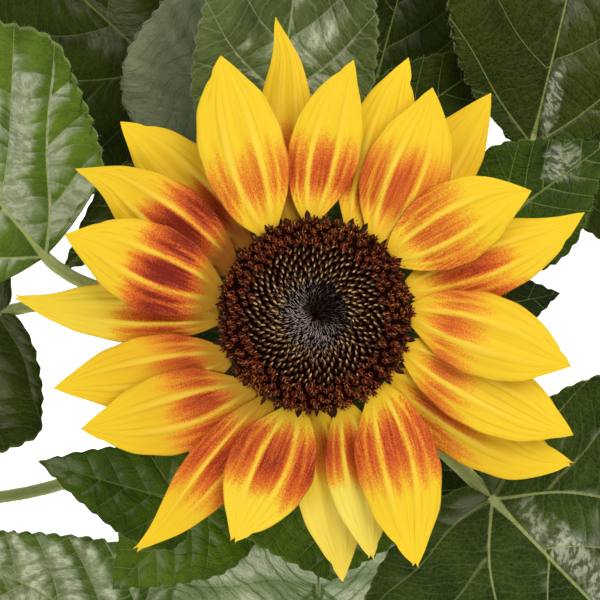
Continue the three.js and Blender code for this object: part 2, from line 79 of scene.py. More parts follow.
# Rays: foot bearing, tip bearing, tip reach, width, tier and roll as in the solids. Then how far the red
# flame runs along the ray, how hot its red is, how golden the yellow is (partly the ray's own gold and partly
# painted shade; below 0 a pale yellow, as painted light), the sideways hook of the tip, and the taper: 0 for
# full shoulders with a short beak, 1 for a long thin tip. Last, how brown the claw is: partly a real stain,
# partly painted shade from the rim florets.
RAYS = [
    (104, 95, 79, 15, 0, 0, 0.5, 0.5, 0.35, 0.07, 0.7, 0.6),
    (92, 82, 67.5, 19, 1.9, 0, 0.56, 0.4, 0.15, -0.02, 0.5, 0),
    (67, 71, 72, 18.5, 1, 0, 0.48, 0.35, 0.3, -0.03, 0.5, 0),
    (51, 62, 67, 23, 2, -5, 0.68, 0.26, 0.2, 0.02, 0.45, 0),
    (45, 51.5, 75, 19, 0, 0, 0.45, 0.4, 0.6, 0.0, 0.4, 0),
    (36, 31.5, 65, 22, 3, -3, 0.64, 0.12, 0.15, -0.05, 0.4, 0),
    (15, 19, 76, 19.5, 1, 5, 0.62, 0.5, 0.25, 0.05, 0.7, 0),
    (0, -12, 68, 22, 2, 0, 0.5, 0.22, 0.25, 0.02, 0.15, 0),
    (-21, -26, 75, 21, 1, 6, 0.5, 0.22, 0.2, 0.03, 0.25, 0),
    (-39, -33, 80, 20, 0, 2, 0.6, 0.2, 0.3, 0.08, 0.2, 0),
    (-51, -69, 71, 22, 2, 0, 0.62, 0.45, 0.1, 0.02, 0.4, 0),
    (-72, -77, 66.5, 17, 1, 5, 0.52, 0.55, -0.65, 0.0, 0.6, 0.15),
    (-89, -83, 71, 17.5, 0, 0, 0.42, 0.35, -0.5, -0.03, 0.5, 0),
    (-102, -110, 63, 23, 2.6, 4, 0.68, 0.6, -0.1, 0.0, 0.45, 0.1),
    (-119, -126, 78, 16, 1.8, 8, 0.68, 0.5, 0.5, -0.04, 0.8, 0.45),
    (-133, -154, 68.5, 22, 1.2, 6, 0.56, 0.5, 0.55, 0.0, 0.35, 0.4),
    (-155, -165, 71.5, 19.5, 0.6, 6, 0.5, 0.42, 0.6, 0.02, 0.5, 0.5),
    (181, 178, 80.5, 16, 0, 0, 0.52, 0.6, -0.15, -0.04, 0.85, 0.6),
    (168, 160.5, 68.5, 23, 2, 0, 0.62, 0.95, 0.3, 0.05, 0.35, 0.7),
    (150, 145.5, 73.5, 21, 1, 6, 0.6, 0.95, 0.45, 0.09, 0.9, 1.0),
    (133, 134.5, 72.5, 19, 0, 0, 0.5, 0.7, 0.35, 0.02, 0.2, 0.95),
    (119, 110, 72, 22.5, 2.3, 0, 0.52, 0.1, 0.1, 0.0, 0.1, 0),
]
RAY_LOWEST = -10.8
TIER_RISE = 2.3
TIER_TILT = 3.4
LOWEST_TILT = -2
RAY_ARCH = 0.05
RAY_CROWN = 1.1
# A ray's half width along it, as a share of the widest, for the fullest and the slimmest taper
RAY_FULL = [(0, 0.26), (0.1, 0.57), (0.25, 0.86), (0.42, 1), (0.6, 0.97), (0.75, 0.8), (0.87, 0.47),
            (0.945, 0.22), (0.98, 0.09), (1, 0)]
RAY_SLIM = [(0, 0.26), (0.1, 0.57), (0.25, 0.86), (0.4, 1), (0.54, 0.93), (0.67, 0.73), (0.78, 0.48),
            (0.88, 0.26), (0.95, 0.12), (1, 0)]
RAY_FOOT_LIFT = 2.4  # of the top tier's claws over the ray's plane, so that they bend up against the cup
RAY_FOOT_STEP = 1.1  # by which each lower tier's claws bend up further
RAY_GAP = 0.35
RAY_LEAD = 0.35
RAY_TURN_SHARE = 0.25
RAY_ROLL_SHARE = 0.5
RAY_CREASES = 7
# Rays with a split tip, and how much shorter its tooth is on one side (or the other, below 0)
SPLIT_RAYS = {10: -0.9, 11: -0.7, 12: -0.8, 14: 0.1, 15: 0.2, 18: 0.5}
SPLIT_DEPTH = 1.5
SPLIT_WIDTH = 1.5
RIDGE_PLACE = 0.34  # of a ray's two long ridges, as a share of its half width

# Leaves: foot bearing, reach and drop, stalk root height, stalk swing, heading, pitch, length, width, form,
# lobe, whether small, and the finish that the blade takes
LEAF_FIELDS = ("out", "reach", "drop", "root", "swing", "heading", "pitch", "length", "width", "form", "lobe",
               "small", "finish")
LEAVES = [
    (168, 75, 34, 258, 0, 130, -4, 92, 80, "broad", 1, False, "bright"),
    (180, 90, 70, 216, 0, 198, -10, 100, 76, "heart", 0.3, False, "deep"),
    (122, 82, 78, 208, 0, 137, -8, 118, 88, "heart", 0.8, False, "deep"),
    (113, 62, 54, 240, 0, 85, -6, 54, 60, "heart", 0.8, False, "dull"),
    (99, 60, 36, 266, 0, 82, -4, 84, 50, "heart", 0.7, False, "grey_sheen"),
    (75, 65, 64, 229, 0, 75, -8, 66, 41, "heart", 0.5, False, "deep"),
    (67, 56, 47, 251, 0, 35, -6, 42, 28, "heart", 0.4, True, "deep"),
    (38, 76, 44, 245, 0, 76, -2, 118, 72, "ovate", 1, False, "creased"),
    (33, 82, 72, 220, 0, 38, -8, 105, 66, "heart", 0.3, False, "deep"),
    (27, 58, 24, 274, 0, 36, -4, 35, 36, "heart", 0.5, True, "crumpled"),
    (-4, 34, 130, 172, 0, 11, -14, 48, 34, "heart", 0.4, True, "deep"),
    (-46, 70, 36, 260, -6, -46, -6, 112, 98, "heart", 0.4, False, "glossy"),
    (-89, 78, 72, 216, 0, -90, -8, 100, 84, "heart", 0.9, False, "pale"),
    (-85, 38, 45, 266, 0, -88, -8, 38, 54, "ovate", 1, True, "fresh"),
    (-126, 63, 36, 270, 0, 165, -4, 41, 28, "heart", 0.5, False, "soft"),
    (-120, 60, 56, 246, 0, 224, -8, 39, 38, "heart", 0.8, False, "fresh"),
    (-116, 110, 95, 190, 14, 154, -10, 78, 52, "heart", 1.1, False, "hairy_sheen"),
    (-155, 128, 106, 180, 34, 168, -10, 92, 76, "heart", 0.5, False, "deep"),
    (144, 56, 42, 273, 0, 220, -8, 33, 22, "heart", 0.4, True, "deep"),
    (-58, 46, 56, 243, 0, -46, -10, 42, 34, "heart", 0.4, True, "deep"),
]
# Half outlines of the leaf forms from the notch to the tip, as shares of the length and the width
LEAF_FORMS = {
    "heart": [(-0.04, 0.012), (-0.17, 0.03), (-0.25, 0.14), (-0.24, 0.28), (-0.17, 0.4), (0, 0.49),
              (0.26, 0.48), (0.5, 0.36), (0.76, 0.19), (1, 0)],
    "broad": [(0.02, 0.05), (0.045, 0.2), (0.07, 0.33), (0.16, 0.4), (0.34, 0.47), (0.48, 0.5), (0.62, 0.41),
              (0.82, 0.19), (1, 0)],
    "ovate": [(0, 0.08), (0.07, 0.25), (0.2, 0.4), (0.42, 0.49), (0.64, 0.41), (0.84, 0.2), (1, 0)],
}
LEAF_NUMBERS = range(1, len(LEAVES) + 1)
LEAF_FOLD = 0.16
LEAF_FOLD_ROUND = 5
LEAF_DROOP = 0.16
LEAF_RIPPLE = 0.022
LEAF_WAVES = 4
LEAF_CALM = 0.4
TOOTHED_WIDTH = 45  # of a blade from which the teeth have their full depth
RELIEF_LENGTH = 70  # of a blade from which the quilting has its full height
RIBBED_LENGTH = 60  # of a blade from which the ribs below have their full height
PAINTED_SHEEN_WAY = (-0.42, -0.1, 0.9)  # painted sheen: the sides of folds and bulges that face this way, up and to the left, are painted silver
VEIN_SPACING = 0.19  # of the side veins along the midrib, as a share of the blade's length
VEIN_SLANT = 0.84
VEIN_BOW = 0.6
FOOT_SPREAD = 13  # millimetres over which the veins widen towards the blade's foot
VEIN_WANDER = 0.07  # how far a side vein strays, as a share of the spacing
BACK_SPACING = 0.55  # of the branches behind the first side vein, as a share of the spacing
RUNG_PITCH = 4.8
RUNG_SLANT = (0.64, 0.77)  # the way along which the rungs follow each other, square to themselves
STALK_RADIUS = 1.5
STALK_RADIUS_GAIN = 0.009
STALK_TAPER = 0.72
STALK_RISE_SHARE = 0.34
STALK_CLIMB_SHARE = 0.62
STEM_SWELLING = (0.45, 4.5)  # of the stem where a stalk leaves: how high, and half how long

# Blade finishes: dark green, light green, vein colour, strength of the painted silver sheen laid into the
# colour, roughness, coat, how wide its ribs are, and how much its fine veins part the painted sheen
LEAF_FINISHES = {
    "bright": ((0.02, 0.055, 0.002), (0.13, 0.21, 0.016), (0.4, 0.46, 0.13), 0.9, 0.44, 0.04, 0.65, 0.0),
    "deep": ((0.008, 0.016, 0.0005), (0.042, 0.064, 0.003), (0.2, 0.25, 0.06), 0.0, 0.42, 0.0, 0.5, 0.0),
    "creased": ((0.011, 0.019, 0.001), (0.045, 0.066, 0.004), (0.26, 0.31, 0.08), 0.0, 0.42, 0.0, 0.55, 0.0),
    "glossy": ((0.006, 0.016, 0.001), (0.045, 0.08, 0.006), (0.38, 0.42, 0.14), 0.28, 0.38, 0.04, 0.85, 0.0),
    "dull": ((0.13, 0.155, 0.08), (0.255, 0.29, 0.165), (0.26, 0.3, 0.16), 0.35, 0.6, 0.0, 0.5, 0.0),
    # the strong silver of this finish is painted sheen over a hairy blade
    "hairy_sheen": ((0.03, 0.065, 0.004), (0.14, 0.21, 0.03), (0.4, 0.46, 0.16), 1.2, 0.46, 0.04, 0.7, 0.6),
    # the grey of this finish comes mostly from painted silver sheen over green
    "grey_sheen": ((0.035, 0.055, 0.011), (0.13, 0.17, 0.045), (0.3, 0.35, 0.15), 0.95, 0.5, 0.0, 0.6, 0.35),
    "fresh": ((0.025, 0.06, 0.001), (0.11, 0.18, 0.006), (0.2, 0.27, 0.04), 0.1, 0.4, 0.03, 0.6, 0.0),
    "soft": ((0.012, 0.034, 0.001), (0.07, 0.125, 0.005), (0.14, 0.2, 0.03), 0.1, 0.4, 0.03, 0.6, 0.0),
    "crumpled": ((0.008, 0.022, 0.001), (0.05, 0.095, 0.004), (0.2, 0.26, 0.05), 0.25, 0.4, 0.03, 0.7, 0.0),
    # painted light: a light green and the strongest painted sheen, so that this blade shows bright though it
    # lies in the bloom's shadow
    "pale": ((0.17, 0.26, 0.07), (0.6, 0.68, 0.38), (0.1, 0.17, 0.03), 1.8, 0.5, 0.0, 1.1, 0.75),
}
# Painted silver sheen spots on three blades, highlights laid into the colour: centre along and across
# the midrib, half length and half width
SHEEN_SPOTS = {
    "creased": (12.5, -2.9, 12.0, 2.7),
    "crumpled": (21.0, 3.0, 7.5, 5.5),
    "glossy": (34.0, 5.2, 32.0, 5.6),
}

# Rows and points in a row of each kind of mesh
STEM_GRID = (190, 44)
STALK_GRID = (56, 18)
RAY_GRID = (72, 33)
BRACT_GRID = (26, 9)
CUP_SIDES = 88
BED_SIDES = 120

MARGIN_STEP = 1.15  # between the points of a blade's margin, within the limits on their count below
MARGIN_POINTS = (34, 124)
CROSS_STEP = 1.25  # the same for the rows from the midrib to the margin
CROSS_POINTS = (9, 30)
WELD_DISTANCE = 2e-6  # in metres, within which the points of a blade become one

STEM_HAIRS = 4200
STALK_HAIRS = 5.5  # for each millimetre of the leaf's length
HAIR_SINK = 0.05  # of a hair's root under the skin
SPIRAL_STEP = 137.508  # degrees from each floret to the next
BRISTLES_LIT = 215  # bearing where the bristles, which lean inwards, face the key light, and where their tones are painted lightest
POLLEN_GRAINS = 1300

# Picture
VIEW_MIDDLE = (6.1, -3.1)
VIEW_DISTANCE = 750  # from the camera to the bloom
VIEW_WIDTH = 156  # of the picture at the bloom's height
SENSOR_WIDTH = 36
FLOOR_REACH = 3.0  # metres from the floor's middle to its sides
LAMP_AIM = (0, 0, 0.3)


def length_setting(name, text, value, low, high):
    """A setting for a length, given in millimetres."""
    return FloatProperty(name=name, description=text, default=value * MM, min=low * MM, max=high * MM,
                         unit="LENGTH")


def colour_setting(name, text, colour):
    """A setting for a colour."""
    return FloatVectorProperty(name=name, description=text, subtype="COLOR", default=colour, min=0.0, max=1.0)


class BloomSettings(bpy.types.PropertyGroup):
    """Sizes and colours of the bloom"""

    ray_thickness: length_setting("Ray thickness", "Thickness of a ray", 0.55, 0.2, 1.2)
    ray_ridge: length_setting("Ray ridges", "Height of the two long ridges of a ray", 0.42, 0.0, 1.0)
    ray_yellow: colour_setting("Yellow", "Yellow of the rays' outer half", (0.94, 0.635, 0.024))
    ray_red: colour_setting("Red", "Red of the flame on the rays", (0.66, 0.105, 0.014))
    ray_maroon: colour_setting("Maroon", "Darkest red of the flame", (0.22, 0.014, 0.004))
    disc_dark: colour_setting("Disc", "Dark brown of the bed under the florets", (0.03, 0.006, 0.003))
    bristle: colour_setting("Bristles", "Taupe of the bristles in the middle", (0.7, 0.56, 0.47))
    cream: colour_setting("Cream", "Cream of the closed florets' tips", (0.62, 0.45, 0.17))
    rim_scales: IntProperty(name="Rim scales", description="Dark pointed scales round the disc", default=46,
                            min=20, max=120)


class LeafSettings(bpy.types.PropertyGroup):
    """Sizes of the leaves' relief"""

    thickness: length_setting("Leaf thickness", "Thickness of a blade", 0.4, 0.2, 1.0)
    quilt: length_setting("Quilting", "How far a blade swells between its side veins", 1.15, 0.0, 3.0)
    pillow: length_setting("Pillows", "How far a blade swells between its fine rungs", 0.5, 0.0, 1.5)
    tooth: length_setting("Teeth", "Depth of the teeth along the margin", 0.95, 0.0, 2.0)
    tooth_pitch: length_setting("Tooth pitch", "Distance from tooth to tooth", 4.6, 2.0, 12.0)


class StemSettings(bpy.types.PropertyGroup):
    """Relief and hairs of the stem and the stalks"""

    ribs: IntProperty(name="Ribs", description="Ribs round the stem", default=11, min=5, max=24)
    hair: length_setting("Hair length", "Length of the stiff hairs", 1.3, 0.4, 3.0)
    green: colour_setting("Stem green", "Pale green of the stem and the stalks", (0.36, 0.41, 0.12))


class StageSettings(bpy.types.PropertyGroup):
    """Floor, lights and camera"""

    key_power: FloatProperty(name="Key light", description="Power of the larger soft light", default=8.3,
                             min=0.0, unit="POWER")
    sky: FloatProperty(name="Sky", description="Strength of the even light from all round", default=0.42,
                       min=0.0)
    camera_height: FloatProperty(name="Camera height", description="Height of the camera over the ground",
                                 default=(BLOOM_HEIGHT + VIEW_DISTANCE) * MM, min=0.5, unit="LENGTH")


# Numbers and meshes


def stacked(*parts):
    """Points or other rows of values from their columns, each a number or an array."""
    return np.stack(np.broadcast_arrays(*parts), axis=-1)


def circle(sides):
    """Angles at even steps round a circle."""
    return np.linspace(0, TURN, sides, endpoint=False)


def round_bloom(angle, reach, height):
    """Point at an angle and reach from the bloom's middle, and a height over the disc's rim."""
    x = BLOOM_OFFSET[0] + reach * np.cos(angle)
    y = BLOOM_OFFSET[1] + reach * np.sin(angle)
    return stacked(x, y, BLOOM_HEIGHT + np.asarray(height, float))


def on_bearing(bearing, reach, height):
    """The same for a bearing in degrees."""
    return round_bloom(np.radians(bearing), reach, height)


def way_out(bearing):
    """Level direction of a bearing."""
    return on_bearing(bearing, 1, 0) - on_bearing(bearing, 0, 0)


def smooth(low, high, x):
    """0 below low, 1 above high, and a smooth step between them."""
    t = np.clip((np.asarray(x, float) - low) / (high - low), 0, 1)
    return t * t * (3 - 2 * t)


def eased(table, x):
    """Value at x of a smooth curve through a table of (x, value) rows."""
    xs, ys = np.array(table, float).T
    slopes = np.gradient(ys, xs)
    x = np.clip(x, xs[0], xs[-1])
    i = np.clip(np.searchsorted(xs, x) - 1, 0, len(xs) - 2)
    span = xs[i + 1] - xs[i]
    t = (x - xs[i]) / span
    start = ys[i] * (1 + 2 * t) * (1 - t) ** 2 + slopes[i] * span * t * (1 - t) ** 2
    return start + ys[i + 1] * t * t * (3 - 2 * t) + slopes[i + 1] * span * t * t * (t - 1)


def walked_along(line):
    """Length walked along a line of points up to each of them."""
    return np.concatenate([[0], np.cumsum(np.linalg.norm(np.diff(line, axis=0), axis=1))])


def even_curve(points, count):
    """Points at even steps along a smooth curve through the given ones."""
    points = np.array(points, float)
    ends = np.vstack([points[:1], points, points[-1:]])
    dense = []
    for i in range(len(points) - 1):
        before, a, b, after = ends[i:i + 4]
        t = np.linspace(0, 1, 48, endpoint=False)[:, None]
        leave, arrive = (b - before) / 2, (after - a) / 2
        cubic = (2 * a - 2 * b + leave + arrive) * t ** 3
        dense.append(cubic + (3 * b - 3 * a - 2 * leave - arrive) * t ** 2 + leave * t + a)
    dense = np.vstack(dense + [points[-1:]])
    walked = walked_along(dense)
    even = np.linspace(0, walked[-1], count)
    return np.stack([np.interp(even, walked, dense[:, k]) for k in range(points.shape[1])], axis=1)


def unit(vectors):
    """The same directions, one long."""
    return vectors / np.maximum(np.linalg.norm(vectors, axis=-1, keepdims=True), 1e-9)


def ripple_noise(points, seed, scale):
    """A smooth random value from -1 to 1 at each point, made of crossing waves about scale long."""
    spray = np.random.default_rng(seed)
    total = np.zeros(len(points))
    for _ in range(7):
        direction = unit(spray.normal(size=points.shape[1]))
        wave = TURN / (scale * spray.uniform(0.7, 1.5))
        total += np.sin(points @ direction * wave + spray.uniform(0, TURN))
    return total / 4


def grid_faces(rows, columns, closed=False, offset=0, flip=False):
    """Quads of a grid of points, rows by columns, closed round the columns if asked."""
    row = np.arange(rows - 1)[:, None]
    column = np.arange(columns if closed else columns - 1)
    after = (column + 1) % columns
    a = row * columns + column
    b = row * columns + after
    quads = np.stack([a, b, b + columns, a + columns], axis=-1).reshape(-1, 4) + offset
    return quads[:, ::-1] if flip else quads


def outward(points, faces):
    """A closed mesh with all its faces turned outwards."""
    centred = points - points.mean(axis=0)
    volume = 0.0
    for face in faces:
        first = centred[face[:, 0]]
        for k in range(1, face.shape[1] - 1):
            volume += (first * np.cross(centred[face[:, k]], centred[face[:, k + 1]])).sum()
    return points, faces if volume > 0 else [face[:, ::-1] for face in faces]


def plate_mesh(top, under):
    """Points and faces of a thin closed plate between two grids of points."""
    rows, columns = top.shape[:2]
    count = rows * columns
    border = np.concatenate([
        np.arange(columns - 1),
        np.arange(rows - 1) * columns + columns - 1,
        np.arange(columns - 1, 0, -1) + (rows - 1) * columns,
        np.arange(rows - 1, 0, -1) * columns,
    ])
    following = np.roll(border, -1)
    edge = np.stack([following, border, border + count, following + count], axis=-1)
    faces = [grid_faces(rows, columns), grid_faces(rows, columns, offset=count, flip=True), edge]
    return outward(np.vstack([top.reshape(-1, 3), under.reshape(-1, 3)]), faces)


def limb_mesh(rings):
    """Points and faces of a closed limb through rings of points, ring by side."""
    count, sides = rings.shape[:2]
    points = rings.reshape(-1, 3)
    faces = [grid_faces(count, sides, closed=True)]
    side = np.arange(sides)
    for ring, flip in ((0, True), (count - 1, False)):
        middle = len(points)
        points = np.vstack([points, rings[ring].mean(axis=0)])
        a, b = ring * sides + side, ring * sides + (side + 1) % sides
        corners = (b, a) if flip else (a, b)
        faces.append(np.stack([*corners, np.full(sides, middle)], axis=-1))
    return outward(points, faces)


def scattered(template, faces, places, turns, sizes):
    """One mesh of many copies of a small template: its points are scaled, turned and moved for each copy."""
    count, size = len(places), len(template)
    sizes = np.broadcast_to(np.asarray(sizes, float).reshape(count, -1), (count, 3))
    points = np.einsum("nij,nvj->nvi", turns, template * sizes[:, None, :]) + places[:, None, :]
    steps = (np.arange(count) * size)[:, None, None]
    return points.reshape(-1, 3), [(face + steps).reshape(-1, face.shape[1]) for face in faces]


def upright_turns(axes, forward):
    """Rotation matrices whose third column is each axis and whose first leans towards forward."""
    axes = unit(axes)
    side = unit(np.cross(axes, forward))
    return np.stack([np.cross(side, axes), side, axes], axis=-1)


def joined_parts(parts):
    """One list of points and one of faces from several."""
    points, faces, offset = [], [], 0
    for part_points, part_faces in parts:
        points.append(part_points)
        faces += [face + offset for face in part_faces]
        offset += len(part_points)
    return np.vstack(points), faces


def placed(name, data):
    """A new object in the scene."""
    item = bpy.data.objects.new(name, data)
    bpy.context.scene.collection.objects.link(item)
    return item


def new_piece(name, mesh_parts, finish, stands_for=(), notes=None, weld=False):
    """Makes a Blender piece from points in millimetres and faces, and ties it to the plant's body."""
    points, faces = mesh_parts
    mesh = bpy.data.meshes.new(name)
    mesh.vertices.add(len(points))
    mesh.vertices.foreach_set("co", (points * MM).astype(np.float32).ravel())
    corners = np.concatenate([face.ravel() for face in faces]).astype(np.int32)
    sides = np.concatenate([np.full(len(face), face.shape[1]) for face in faces])
    starts = np.concatenate([[0], np.cumsum(sides)[:-1]]).astype(np.int32)
    mesh.loops.add(len(corners))
    mesh.loops.foreach_set("vertex_index", corners)
    mesh.polygons.add(len(starts))
    mesh.polygons.foreach_set("loop_start", starts)
    mesh.update(calc_edges=True)
    for label, values in (notes or {}).items():
        kind = "FLOAT_VECTOR" if values.ndim == 2 else "FLOAT"
        record = mesh.attributes.new(label, kind, "POINT")
        record.data.foreach_set("vector" if values.ndim == 2 else "value", values.astype(np.float32).ravel())
    if weld:
        body = bmesh.new()
        body.from_mesh(mesh)
        bmesh.ops.remove_doubles(body, verts=body.verts, dist=WELD_DISTANCE)
        body.to_mesh(mesh)
        body.free()
    mesh.shade_smooth()
    mesh.materials.append(finish)
    piece = placed(name, mesh)
    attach(piece, "root")
    if stands_for:
        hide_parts(*stands_for)


def spikes(roots, directions, lengths, radius, seed):
    """One mesh of thin pointed hairs, each a closed spike of four triangles."""
    spray = np.random.default_rng(seed)
    directions = unit(directions)
    across = unit(np.cross(directions, unit(spray.normal(size=directions.shape))))
    beside = np.cross(directions, across)
    corners = []
    for share in range(3):
        angle = TURN * share / 3
        corners.append(roots + radius * (across * math.cos(angle) + beside * math.sin(angle)))
    corners.append(roots + directions * np.asarray(lengths)[:, None])
    points = np.stack(corners, axis=1).reshape(-1, 3)
    step = (np.arange(len(roots)) * 4)[:, None, None]
    one = np.array([[0, 1, 3], [1, 2, 3], [2, 0, 3], [0, 2, 1]])
    return points, [(one + step).reshape(-1, 3)]


def hair_piece(name, slot, roots, ways, lengths, radius, seed):
    """Makes a piece of stiff hairs."""
    new_piece(name, spikes(roots, ways, lengths, radius, seed), bpy.data.materials["Stiff hairs"])


def hairs_on_limb(rings, out, spray, count, first, shares):
    """Roots, directions and lengths of hairs spread over a limb from a ring on.

    The shares are the shortest and the longest hair against the length that the settings give.
    """
    row = spray.integers(first, len(rings) - 1, count)
    side = spray.integers(0, rings.shape[1], count)
    ways = out[row, side] + spray.normal(0, 0.3, (count, 3))
    length = bpy.context.scene.sunflower_stem.hair / MM
    return rings[row, side] - HAIR_SINK * out[row, side], ways, length * spray.uniform(*shares, count)


# Shader nodes


def arithmetic(operation, turned_round=False):
    """An operator that joins a field to another value by a math node."""
    return lambda field, other: field.math(operation, other, turned_round=turned_round)


class Field:
    """A value or vector in a node tree, so that a formula for a finish reads as arithmetic."""

    __add__ = __radd__ = arithmetic("ADD")
    __sub__ = arithmetic("SUBTRACT")
    __rsub__ = arithmetic("SUBTRACT", turned_round=True)
    __mul__ = __rmul__ = arithmetic("MULTIPLY")
    __truediv__ = arithmetic("DIVIDE")

    def __init__(self, tree, socket):
        self.tree = tree
        self.socket = socket

    def math(self, operation, *others, turned_round=False):
        """The result of a math node."""
        terms = (*others, self) if turned_round else (self, *others)
        return node_field(self.tree, "Math", dict(enumerate(terms)), operation=operation)

    def size(self):
        """The value without its sign."""
        return self.math("ABSOLUTE")

    def held(self):
        """The value kept from 0 to 1."""
        return self.math("MAXIMUM", 0.0).math("MINIMUM", 1.0)

    def rises(self, low, high):
        """0 below low, 1 above high, and a smooth step between."""
        terms = dict(enumerate((self, low, high, 0.0, 1.0)))
        return node_field(self.tree, "MapRange", terms, interpolation_type="SMOOTHSTEP")

    def near(self, place, width):
        """1 at a place, falling smoothly to 0 a width away."""
        return 1.0 - (self - place).size().rises(0.0, width)

    def line(self, pitch):
        """Distance to the nearest whole multiple of a pitch."""
        return ((self / pitch + 0.5).math("FRACT") - 0.5).size() * pitch

    def parts(self):
        """The three values of a vector."""
        return every_output(node_field(self.tree, "SeparateXYZ", {0: self}))


def put(entry, value):
    """Sets a node's input to a field, a number or a colour."""
    if isinstance(value, Field):
        value.tree.links.new(value.socket, entry)
    elif isinstance(value, (int, float)):
        entry.default_value = value
    else:
        entry.default_value = (*value, 1.0)[:len(entry.default_value)]


def node_field(tree, kind, entries, out=0, **traits):
    """Places a node with its traits and inputs, and gives one of its outputs."""
    node = tree.nodes.new("ShaderNode" + kind)
    for trait, value in traits.items():
        setattr(node, trait, value)
    for entry, value in entries.items():
        put(node.inputs[entry], value)
    return Field(tree, node.outputs[out])


def every_output(field):
    """All outputs of the node that a field comes from."""
    return [Field(field.tree, out) for out in field.socket.node.outputs]


def note(tree, label, kind="Vector"):
    """What a mesh notes at each of its points."""
    return node_field(tree, "Attribute", {}, kind, attribute_name=label)


def vector(x, y, z):
    """A vector of three fields."""
    return node_field(x.tree, "CombineXYZ", {0: x, 1: y, 2: z})


def object_place(tree):
    """Place on the plant in millimetres."""
    place = node_field(tree, "TexCoord", {}, "Object")
    return node_field(tree, "VectorMath", {0: place, "Scale": 1 / MM}, operation="SCALE")


def noise(place, pitch, detail=2.0, roughness=0.5):
    """Soft noise from 0 to 1 with lumps about a pitch across."""
    entries = {"Vector": place, "Scale": 1 / pitch, "Detail": detail, "Roughness": roughness}
    return node_field(place.tree, "TexNoise", entries)


def facing(tree, way):
    """How squarely the surface faces a way, 1 for straight at it."""
    normal = node_field(tree, "NewGeometry", {}, "Normal")
    return node_field(tree, "VectorMath", {0: normal, 1: way}, "Value", operation="DOT_PRODUCT")


def cell_edges(place, pitch):
    """Distance to the nearest wall between cells about a pitch across."""
    entries = {"Vector": place, "Scale": 1 / pitch}
    return node_field(place.tree, "TexVoronoi", entries, "Distance", feature="DISTANCE_TO_EDGE")


def blended(share, first, second):
    """Two colours mixed by a share."""
    return node_field(share.tree, "Mix", {0: share, 6: first, 7: second}, 2, data_type="RGBA")


def painted(base, *layers):
    """A colour with others laid over it in turn, each by its share."""
    for share, colour in layers:
        base = blended(share, base, colour)
    return base


# Effects that finishes share, each a formula that gives a node group's outputs from its inputs


def leaf_veins(given):
    """Veins of a blade, the fine net and cushions between them, the wrinkles of its skin, and the side of
    each panel that takes painted sheen.
    """
    x, y, _ = given["Place"].parts()
    lead, rung, back = given["Net"].parts()
    length, spacing = given["Length"], given["Spacing"]
    side = y.size()
    width = 0.24 - side / length * 0.28
    first = 1.0 - (lead.size() * 1.5).rises(0.0, 1.0)
    width = (width + first * (1.0 - side / length * 2.2).held() * 0.2) * given["Ribs"]
    ahead = lead.math("GREATER_THAN", -0.05)
    count = lead * ahead + back * (1.0 - ahead)
    gap = count.line(1.0) * spacing * (ahead * (1.0 - BACK_SPACING) + BACK_SPACING)
    veins = (1.0 - gap.rises(width, width * 2.3)) * (0.35 + ahead * 0.65)
    near_foot = 1.0 - (x * x + side * side).math("SQRT").rises(0.0, FOOT_SPREAD)
    midrib_width = (0.72 - x / length * 0.6 + near_foot * near_foot) * given["Ribs"]
    midrib = (1.0 - side.rises(midrib_width * 0.6, midrib_width * 1.25)) * x.rises(-1.5, 0.5)
    wobble = (noise(given["Place"], 3.0, 1.0) - 0.5) * 0.3
    ladder = 1.0 - (rung + wobble).line(1.0).rises(0.02, 0.1)
    half_steps = 1.0 - (rung + wobble * 1.4).line(0.5).rises(0.015, 0.07)
    walls = cell_edges(given["Place"], 1.5)
    drawn = vector(count * spacing * 0.42, rung * RUNG_PITCH, y * 0.05)
    return {
        "Midrib": midrib,
        "Side veins": veins.held(),
        "Ladder": (ladder + half_steps * 0.45).held(),
        "Net": 1.0 - walls.rises(0.0, 0.14),
        "Cushions": walls.rises(0.0, 0.42),
        "Quilt": (count.math("FRACT") * math.pi).math("SINE"),
        "Pillows": (rung.math("FRACT") * math.pi).math("SINE"),
        # the side of each panel on which painted sheen falls
        "Sheen side": (count.math("FRACT") - 0.5) + (rung.math("FRACT") - 0.5) * 0.4,
        "Wrinkles": noise(drawn, 1.4, 3.0, 0.62),
    }


def living_mottle(given):
    """The uneven tone of living skin, broad and fine."""
    place = given["Place"]
    return {"Broad": noise(place, 14.0).rises(0.3, 0.7), "Fine": noise(place, 1.6).rises(0.25, 0.75)}


def skin_streaks(given):
    """Fine streaks that run up a stem."""
    x, y, z = given["Place"].parts()
    return {"Streaks": noise(vector(x, y, z * 0.08), 1.1).rises(0.35, 0.68)}


NOWHERE = (0.0, 0.0, 0.0)
EFFECTS = {
    "Leaf veins": (leaf_veins, {"Place": NOWHERE, "Net": NOWHERE, "Length": 100.0, "Spacing": 19.0,
                                "Ribs": 1.0}),
    "Living mottle": (living_mottle, {"Place": NOWHERE}),
    "Skin streaks": (skin_streaks, {"Place": NOWHERE}),
}


def effect_group(label):
    """The node group of an effect, built once."""
    if label in bpy.data.node_groups:
        return bpy.data.node_groups[label]
    formula, entries = EFFECTS[label]
    tree = bpy.data.node_groups.new(label, "ShaderNodeTree")
    for name, default in entries.items():
        kind = "NodeSocketVector" if isinstance(default, tuple) else "NodeSocketFloat"
        socket = tree.interface.new_socket(name, in_out="INPUT", socket_type=kind)
        socket.default_value = default
    source = tree.nodes.new("NodeGroupInput")
    results = formula({name: Field(tree, source.outputs[name]) for name in entries})
    for name in results:
        tree.interface.new_socket(name, in_out="OUTPUT", socket_type="NodeSocketFloat")
    target = tree.nodes.new("NodeGroupOutput")
    for name, value in results.items():
        put(target.inputs[name], value)
    return tree


def effect(tree, label, values):
    """Places an effect's group in a material and gives its outputs by name."""
    first = node_field(tree, "Group", values, node_tree=effect_group(label))
    return {field.socket.name: field for field in every_output(first)}


# Finishes


